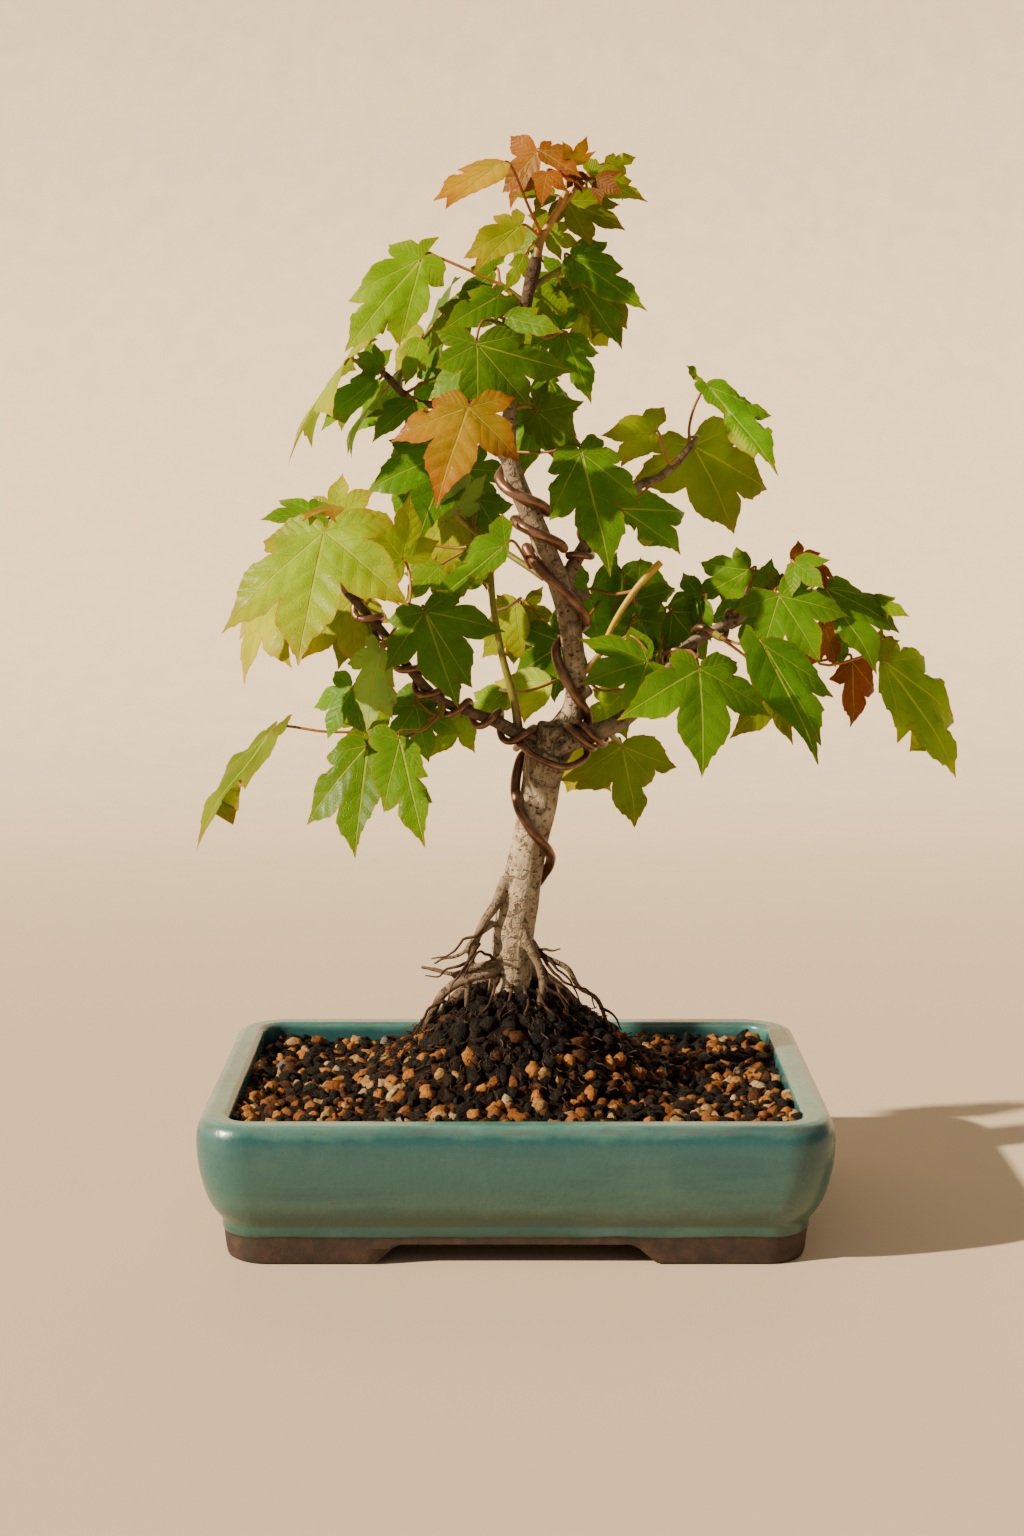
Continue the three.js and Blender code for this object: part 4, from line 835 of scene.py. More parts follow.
def rod(centres, radii, reference=(0.3, 0.9, 0.1)):
    """A round rod along its centres, with directions across it that don't twist."""
    tangents = np.gradient(centres, axis=0)
    tangents /= np.linalg.norm(tangents, axis=1)[:, None]
    arms = [np.cross(tangents[0], reference)]
    for tangent in tangents:
        arm = arms[-1] - tangent * np.dot(arms[-1], tangent)
        arms.append(arm / np.linalg.norm(arm))
    return {"centres": centres, "radii": radii, "tangents": tangents, "arms": np.array(arms[1:])}


def course_of(route, per_span):
    """Centres and radii along a route of pixels, depths and radii."""
    centres = smooth_course([seen_at(*row[:3]) for row in route], per_span)
    at_rows = np.linspace(0, len(route) - 1, len(centres))
    return centres, np.interp(at_rows, np.arange(len(route)), [row[3] / 1000 for row in route])


def limb(route, tones):
    """A rod along a route, with the way along it and its bark's tone at its two ends."""
    centres, radii = course_of(route, PER_SPAN)
    steps = np.linalg.norm(np.diff(centres, axis=0), axis=1)
    return {**rod(centres, radii), "reach": np.concatenate([[0], np.cumsum(steps)]),
            "tones": np.linspace(*tones, len(centres))}


def on_limb(wood, share):
    """Centre, direction and radius of a limb at a share of its length."""
    at = share * wood["reach"][-1]
    centre, tangent = (
        Vector([np.interp(at, wood["reach"], wood[key][:, axis]) for axis in range(3)])
        for key in ("centres", "tangents"))
    return centre, tangent.normalized(), float(np.interp(at, wood["reach"], wood["radii"]))


def tube(core, sides):
    """Points and faces of a rod's skin, closed at both ends."""
    points = []
    for centre, radius, tangent, arm in zip(core["centres"], core["radii"], core["tangents"], core["arms"]):
        other = np.cross(tangent, arm)
        for side in range(sides):
            turn = 2 * math.pi * side / sides
            points.append(centre + radius * (math.cos(turn) * arm + math.sin(turn) * other))
    return points, loft_faces(len(core["centres"]), sides)


def joined(parts):
    """Points and faces of several shells as one list each."""
    points = []
    faces = []
    for part_points, part_faces in parts:
        first = len(points)
        points += list(part_points)
        faces += [tuple(first + v for v in face) for face in part_faces]
    return points, faces


def nearest_on_limbs(points, limbs):
    """For each point, the nearest limb's sample: its place in the limb's own axes, tone and radius."""
    def all_of(key):
        return np.concatenate([wood[key] for wood in limbs])

    centres, radii, tangents, arms = (all_of(key) for key in ("centres", "radii", "tangents", "arms"))
    frames = np.stack([arms, np.cross(tangents, arms), tangents], axis=1)
    along = np.concatenate([wood["reach"] + LIMB_OFFSET * number for number, wood in enumerate(limbs)])
    nearest = np.empty(len(points), dtype=int)
    for start in range(0, len(points), POINT_BLOCK):
        block = points[start:start + POINT_BLOCK]
        apart = np.linalg.norm(block[:, None, :] - centres[None, :, :], axis=2) - radii[None, :]
        nearest[start:start + POINT_BLOCK] = np.argmin(apart, axis=1)
    local = np.einsum("nij,nj->ni", frames[nearest], points - centres[nearest])
    local[:, 2] += along[nearest]
    return local, all_of("tones")[nearest], radii[nearest]


def bark_finish():
    """Bark coordinates run round a limb in their first two axes and along it in the third."""
    graph, place = new_finish("bark")
    wound = graph.attribute("bark_place", "Vector")
    tone = graph.attribute("bark_tone")
    cloud = graph.noise(place, 70.0, 4.0)
    fine = graph.noise(wound, 520.0, 5.0, 0.6)
    fibre = graph.noise(graph.stretched(wound, (900, 900, 110)), 1.0, 3.0)
    pore = graph.add("ShaderNodeTexVoronoi", {
        "Vector": graph.stretched(wound, (230, 230, 520)), "Randomness": 1.0, "Scale": 1.0})
    chosen = graph.between(graph.noise(wound, 190.0, 2.0), 0.42, 0.6)
    pores = graph.times(graph.between(pore.outputs["Distance"], 0.16, 0.3, 1.0, 0.0), chosen)
    scar = graph.noise(graph.stretched(wound, (260, 260, 330)), 1.0, 3.0, 0.6, 0.6)
    scars = graph.times(graph.between(scar, 0.61, 0.66), graph.scaled(tone, -0.8, 1.0))
    crack = graph.noise(graph.stretched(wound, (420, 420, 150)), 1.0, 5.0, 0.7)
    cracks = graph.times(graph.between(crack, 0.5, 0.62), graph.attribute("bark_rough"))
    splash = graph.scaled(cloud, -0.03, graph.plus(graph.part(place, "Z"), 0.015))

    colour = graph.mix(tone, graph.ramp(cloud, PALE_BARK), graph.ramp(cloud, BROWN_BARK))
    for amount, layer in ((graph.between(fibre, 0.35, 0.7, 0.0, 0.4), (0.13, 0.09, 0.06, 1)),
                          (graph.times(pores, 0.8), (0.045, 0.028, 0.018, 1)),
                          (graph.times(scars, 0.7), (0.07, 0.042, 0.025, 1)),
                          (graph.times(cracks, 0.85), (0.05, 0.032, 0.02, 1)),
                          (graph.between(splash, *STAIN, 0.6, 0.0), (0.035, 0.018, 0.01, 1))):
        colour = graph.mix(amount, colour, layer)
    relief = graph.scaled(fine, 0.5, graph.times(fibre, 0.35))
    swelling = graph.between(scar, 0.5, 0.62)
    for layer, height in ((pores, -0.7), (swelling, 0.8), (scars, -1.6), (cracks, -1.4)):
        relief = graph.scaled(layer, height, relief)
    return graph.coat({"Base Color": colour, "Specular IOR Level": 0.2,
                       "Roughness": graph.scaled(fine, 0.25, 0.6), "Normal": graph.bump(relief, 0.0009)})


def shape_bark(points, normals, local, radii, rough):
    """Moves the skin's points by the bark's swellings, ridges and torn plates."""
    moved = np.empty_like(points)
    for i, (point, normal, own, radius) in enumerate(zip(points, normals, local, radii)):
        x, y, z = Vector(own)
        swell = noise.noise(Vector(point) * 75) * 0.05 * radius
        ridge = noise.noise(Vector((x * 420, y * 420, z * 130))) * 0.00016
        torn = noise.noise(Vector((x * 260, y * 260, z * 170))) * 0.0011 * rough[i]
        moved[i] = point + normal * (swell + ridge + torn)
    return moved


trunk = limb(TRUNK_ROUTE, (TRUNK_TONE, BRANCH_TONE))
trunk["tones"] = np.interp(trunk["centres"][:, 2], *zip(*TRUNK_TONES))
left_branch = limb(LEFT_BRANCH_ROUTE, (BRANCH_TONE, TWIG_TONE))
right_branch = limb(RIGHT_BRANCH_ROUTE, (LEADER_TONE, BRANCH_TONE))
upper_right_branch = limb(UPPER_RIGHT_ROUTE, (LEADER_TONE, BRANCH_TONE))
upper_left_branch = limb(UPPER_LEFT_ROUTE, (BRANCH_TONE, TWIG_TONE))
stubs = [limb(route, (tone, tone)) for route, tone in zip(STUB_ROUTES, STUB_TONES)]
roots = [limb([(*row[:3], ROOT_SHARE * row[3]) for row in route], ROOT_TONES) for route in ROOT_ROUTES]
limbs = [trunk, left_branch, right_branch, upper_right_branch, upper_left_branch, *stubs, *roots]

tree = new_piece("tree_wood", *joined([tube(wood, LIMB_SIDES) for wood in limbs]), [])
fuse = tree.modifiers.new("fuse", "REMESH")
fuse.mode = "VOXEL"
fuse.voxel_size = BARK_CELL
relax = tree.modifiers.new("relax", "SMOOTH")
relax.iterations = RELAX_ROUNDS
applied(tree)
count = len(tree.data.vertices)
skin = np.empty(count * 3)
tree.data.vertices.foreach_get("co", skin)
skin = skin.reshape(-1, 3)
normals = np.empty(count * 3)
tree.data.vertices.foreach_get("normal", normals)
local, tones, radii = nearest_on_limbs(skin, limbs)
from_fork = np.linalg.norm(skin - np.array(seen_at(*FORK)), axis=1)
fork_rough = np.clip(FORK_FULL - from_fork / FORK_FADE, 0, 1)
skin = shape_bark(skin, normals.reshape(-1, 3), local, radii, fork_rough)
tree.data.vertices.foreach_set("co", skin.ravel())
for label, kind, values in (("bark_place", "FLOAT_VECTOR", local), ("bark_tone", "FLOAT", tones),
                            ("bark_rough", "FLOAT", fork_rough)):
    attribute = tree.data.attributes.new(label, kind, "POINT")
    attribute.data.foreach_set("vector" if kind == "FLOAT_VECTOR" else "value", np.ravel(values))
tree.data.materials.append(bark_finish())
tree.data.shade_smooth()
tree.data.update()
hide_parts("tree")
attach(tree, "root")


# Fine roots. Wiry brown rootlets up to 30 mm long and under 1 mm thick, which spread from the foot
# of the trunk over the mound and hang free on its right side.
FINE_ROOT_ROUTES = [
    [(537, 950, -6), (546, 949, -9), (553, 951, -10), (560, 948, -11)],
    [(540, 952, -7), (549, 960, -10), (557, 968, -11), (568, 978, -11), (575, 990, -10), (580, 1003, -8)],
    [(541, 956, -8), (552, 970, -12), (563, 981, -13), (574, 987, -12), (588, 990, -10), (595, 1008, -8)],
    [(542, 966, -10), (552, 980, -14), (560, 986, -15), (569, 992, -15), (576, 1007, -13)],
    [(541, 974, -12), (550, 990, -16), (561, 997, -17), (568, 1012, -16)],
    [(556, 982, -14), (560, 994, -16), (566, 999, -17), (570, 1006, -17)],
    [(484, 926, -9), (476, 936, -12), (464, 940, -13), (455, 950, -12), (446, 956, -10), (432, 959, -8)],
    [(470, 962, -10), (458, 966, -12), (446, 969, -11), (440, 976, -10), (425, 975, -8)],
    [(480, 944, -10), (470, 958, -14), (462, 972, -15), (452, 986, -14), (446, 1004, -12)],
    [(496, 962, -8), (488, 955, -14), (478, 952, -18), (470, 962, -19), (464, 978, -18)],
    [(500, 975, -8), (494, 990, -16), (488, 1006, -21), (478, 1016, -23), (472, 1030, -24)],
    [(512, 985, -9), (510, 1000, -18), (500, 1014, -24), (498, 1030, -28), (488, 1042, -30)],
    [(538, 990, -14), (546, 1008, -20), (558, 1018, -22), (562, 1034, -24), (576, 1042, -24)],
    [(524, 986, -12), (528, 1004, -20), (524, 1020, -25), (532, 1038, -30), (528, 1052, -33)],
    [(444, 1000, -9), (430, 1008, -8), (420, 1024, -6), (414, 1034, -4)],
    [(600, 1008, -4), (612, 1014, -3), (622, 1030, -2)],
]
FINE_ROOT_RADII = (0.0008, 0.00028)
FINE_ROOT_SIDES = 7
KINK = 0.0007
KINK_FREQUENCY = 240
KINK_SHIFT = 7


def kinked(route):
    """A thin root along a route, with small kinks."""
    course = smooth_course([seen_at(*row) for row in route], 5)
    for i, point in enumerate(course):
        place = Vector(point) * KINK_FREQUENCY
        sway = [noise.noise(place + Vector((0, 0, KINK_SHIFT * axis))) for axis in range(3)]
        course[i] = point + KINK * np.array(sway)
    return rod(course, np.linspace(*FINE_ROOT_RADII, len(course)))


def fibre_tree(material):
    """Fibres start all over the mound and run outward and down it, each with its own bends."""
    graph, given = new_scatter("fibres", {
        "Spacing": "Float", "Lowest": "Float", "Middle": "Vector", "Shortest": "Float",
        "Longest": "Float", "Thickness": "Float", "Bend": "Float", "Seed": "Int"})
    place = graph.add("GeometryNodeInputPosition").outputs[0]
    high = graph.math("GREATER_THAN", graph.part(place, "Z"), given["Lowest"])
    away = graph.vector("SUBTRACT", place, given["Middle"])
    outward = graph.vector("NORMALIZE", graph.vector("MULTIPLY", away, (1, 1, 0)))
    stray = random_value(graph, (-0.9, -0.9, -0.75), (0.9, 0.9, -0.05), 21, "FLOAT_VECTOR")
    course = graph.vector("ADD", outward, stray)
    turned = graph.add("FunctionNodeAlignRotationToVector", {"Vector": course}, axis="X")
    line = graph.add("GeometryNodeCurvePrimitiveLine", {"Start": (0, 0, 0), "End": (1, 0, 0)})
    stepped = graph.add("GeometryNodeResampleCurve", {"Curve": line.outputs[0], "Count": 10})
    fibres = graph.add("GeometryNodeInstanceOnPoints", {
        "Points": spread_points(graph, given, 60000.0, Selection=high), "Instance": stepped.outputs[0],
        "Rotation": turned.outputs[0],
        "Scale": random_value(graph, given["Shortest"], given["Longest"], 22)})
    real = graph.add("GeometryNodeRealizeInstances", {0: fibres.outputs[0]}).outputs[0]
    bent = stirred(graph, real, place, given["Bend"], 150.0, 2.0, (0.5, 0.5, 0.42))
    share = graph.add("GeometryNodeSplineParameter").outputs[0]
    thinning = graph.add("GeometryNodeSetCurveRadius", {
        "Curve": bent, "Radius": graph.scaled(share, -0.65, 1.0)}).outputs[0]
    return finished(graph, swept(graph, thinning, given["Thickness"], 5), material)


def root_finish():
    graph, place = new_finish("fine_root")
    patchy = graph.ramp(graph.noise(place, 240.0, 3.0), [
        (0.3, 0.018, 0.008, 0.004), (0.55, 0.055, 0.026, 0.012), (0.75, 0.15, 0.075, 0.035)])
    return graph.coat({"Base Color": patchy, "Roughness": 0.75, "Specular IOR Level": 0.2,
                       "Normal": graph.bump(graph.noise(place, 900.0), 0.0003)})


root_material = root_finish()
fine_roots = new_piece("fine_roots", *joined([
    tube(kinked(route), FINE_ROOT_SIDES) for route in FINE_ROOT_ROUTES]), [root_material])
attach(fine_roots, "root")
fibres = new_piece("root_fibres", surface_points, surface_faces, [root_material])
run_nodes(fibres, fibre_tree(root_material), {
    "Spacing": 0.0032, "Lowest": 0.0605, "Middle": POT_MIDDLE, "Shortest": 0.004, "Longest": 0.011,
    "Thickness": 0.00026, "Bend": 0.01, "Seed": 3})
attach(fibres, "root")


# Wires. Annealed aluminium wire with a satin copper-brown coat: one thick wire up the trunk and
# thinner ones on the branches, wound by hand. Each key holds the picture row, or the share of the
# limb's length, and the angle in degrees: 0 at the front, 90 at the right, falling as it climbs.
TRUNK_WIRE = 0.0021
BRANCH_WIRE = 0.0015
WIRE_GAP = 0.00035
WIRE_STEP = 15
WIRE_SIDES = 14
TRUNK_TURNS = [
    (1012, 180), (950, 185), (900, 165), (873, 125), (856, 90), (842, 45), (829, 0),
    (812, -45), (787, -90), (765, -120), (745, -180), (732, -240), (718, -270), (705, -330),
    (695, -360), (672, -405), (650, -450), (640, -520), (630, -590), (625, -630), (608, -675),
    (587, -720), (565, -765), (541, -810), (547, -900), (555, -990), (545, -1035), (534, -1080),
    (522, -1125), (513, -1170), (516, -1260), (519, -1350), (508, -1395), (497, -1440),
    (486, -1485), (474, -1530), (466, -1590), (457, -1640),
]
RIGHT_END_KEYS = [(0.36, 60), (0.8, 1400)]
UPPER_KEYS = [(0.16, -60), (0.6, 900)]
RIGHT_KEYS = [
    (0.2, 850), (0.185, 810), (0.15, 720), (0.125, 630), (0.14, 540), (0.15, 450),
    (0.115, 360), (0.09, 270), (0.13, 190),
]
CROTCH_ROUTE = [
    (587, 754, -1), (581, 761, -5), (573, 765, -9), (562, 767, -12.5), (546, 762, -13.5),
    (531, 754, -12), (522, 746, -10),
]
LEFT_TURNS = 6
LEFT_KEYS = [
    (0.11, -90), (0.095, -180), (0.085, -270), (0.125, -360), (0.165, -450), (0.2, -540),
    (0.23, -630), (0.96, -630 - 360 * LEFT_TURNS),
]


def picture_row(point):
    """Row of the picture at which a point is seen."""
    away = Vector(point) - VIEW_POINT
    ahead = away.y * math.cos(VIEW_PITCH) - away.z * math.sin(VIEW_PITCH)
    up = away.y * math.sin(VIEW_PITCH) + away.z * math.cos(VIEW_PITCH)
    return PICTURE_SIZE[1] / 2 - VIEW_FOCUS * up / ahead


def share_at(wood, row):
    """Share of an upright limb's length at which it is seen at a picture row."""
    rows = np.array([picture_row(centre) for centre in wood["centres"]])
    return float(np.interp(-row, -rows, wood["reach"] / wood["reach"][-1]))


def wound_points(wood, keys, wire):
    """Points of a wire wound round a limb."""
    points = []
    for (share_0, angle_0), (share_1, angle_1) in zip(keys, keys[1:]):
        count = max(1, math.ceil(abs(angle_1 - angle_0) / WIRE_STEP))
        for step in range(0 if not points else 1, count + 1):
            share = share_0 + (share_1 - share_0) * step / count
            angle = math.radians(angle_0 + (angle_1 - angle_0) * step / count)
            centre, tangent, radius = on_limb(wood, share)
            front = Vector((0, -1, 0))
            front = (front - tangent * front.dot(tangent)).normalized()
            out = front * math.cos(angle) + tangent.cross(front) * math.sin(angle)
            points.append(centre + (radius + wire + WIRE_GAP) * out)
    return points


def wire_tree(material):
    graph, given = new_scatter("wire", {"Radius": "Float", "Sides": "Int"})
    line = graph.add("GeometryNodeMeshToCurve", {"Mesh": given["Geometry"]}).outputs[0]
    return finished(graph, swept(graph, line, given["Radius"], given["Sides"]), material)


def wire_finish():
    graph, place = new_finish("copper_wire")
    patchy = graph.noise(place, 160.0, 4.0, 0.6)
    colour = graph.ramp(patchy, [
        (0.3, 0.11, 0.05, 0.028), (0.5, 0.2, 0.1, 0.06), (0.75, 0.36, 0.2, 0.13)])
    return graph.coat({
        "Base Color": colour, "Metallic": 0.75, "Roughness": graph.scaled(patchy, 0.25, 0.25),
        "Normal": graph.bump(graph.noise(place, 500.0), 0.00015)})


sweep_wire = wire_tree(wire_finish())


def add_wire(name, points, radius, node):
    line = [tuple(point) for point in points]
    mesh = bpy.data.meshes.new(name)
    mesh.from_pydata(line, [(i, i + 1) for i in range(len(line) - 1)], [])
    wire = bpy.data.objects.new(name, mesh)
    bpy.context.scene.collection.objects.link(wire)
    run_nodes(wire, sweep_wire, {"Radius": radius, "Sides": WIRE_SIDES})
    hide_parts(node)
    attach(wire, "root")


def add_wound_wire(name, limb_wound, keys, radius, node):
    add_wire(name, smooth_course(wound_points(limb_wound, keys, radius), 3), radius, node)


trunk_keys = [(share_at(trunk, row), angle) for row, angle in TRUNK_TURNS]
add_wound_wire("wound_trunk_wire", trunk, trunk_keys, TRUNK_WIRE, "trunk_wire")
branch_points = [*wound_points(right_branch, RIGHT_KEYS, BRANCH_WIRE),
                 *[seen_at(*row) for row in CROTCH_ROUTE],
                 *wound_points(left_branch, LEFT_KEYS, BRANCH_WIRE)]
add_wire("wound_branch_wire", smooth_course(branch_points, 3), BRANCH_WIRE, "branch_wire")
add_wound_wire("wound_right_wire", right_branch, RIGHT_END_KEYS, BRANCH_WIRE, "right_branch_wire")
add_wound_wire("wound_upper_wire", upper_right_branch, UPPER_KEYS, BRANCH_WIRE, "upper_branch_wire")


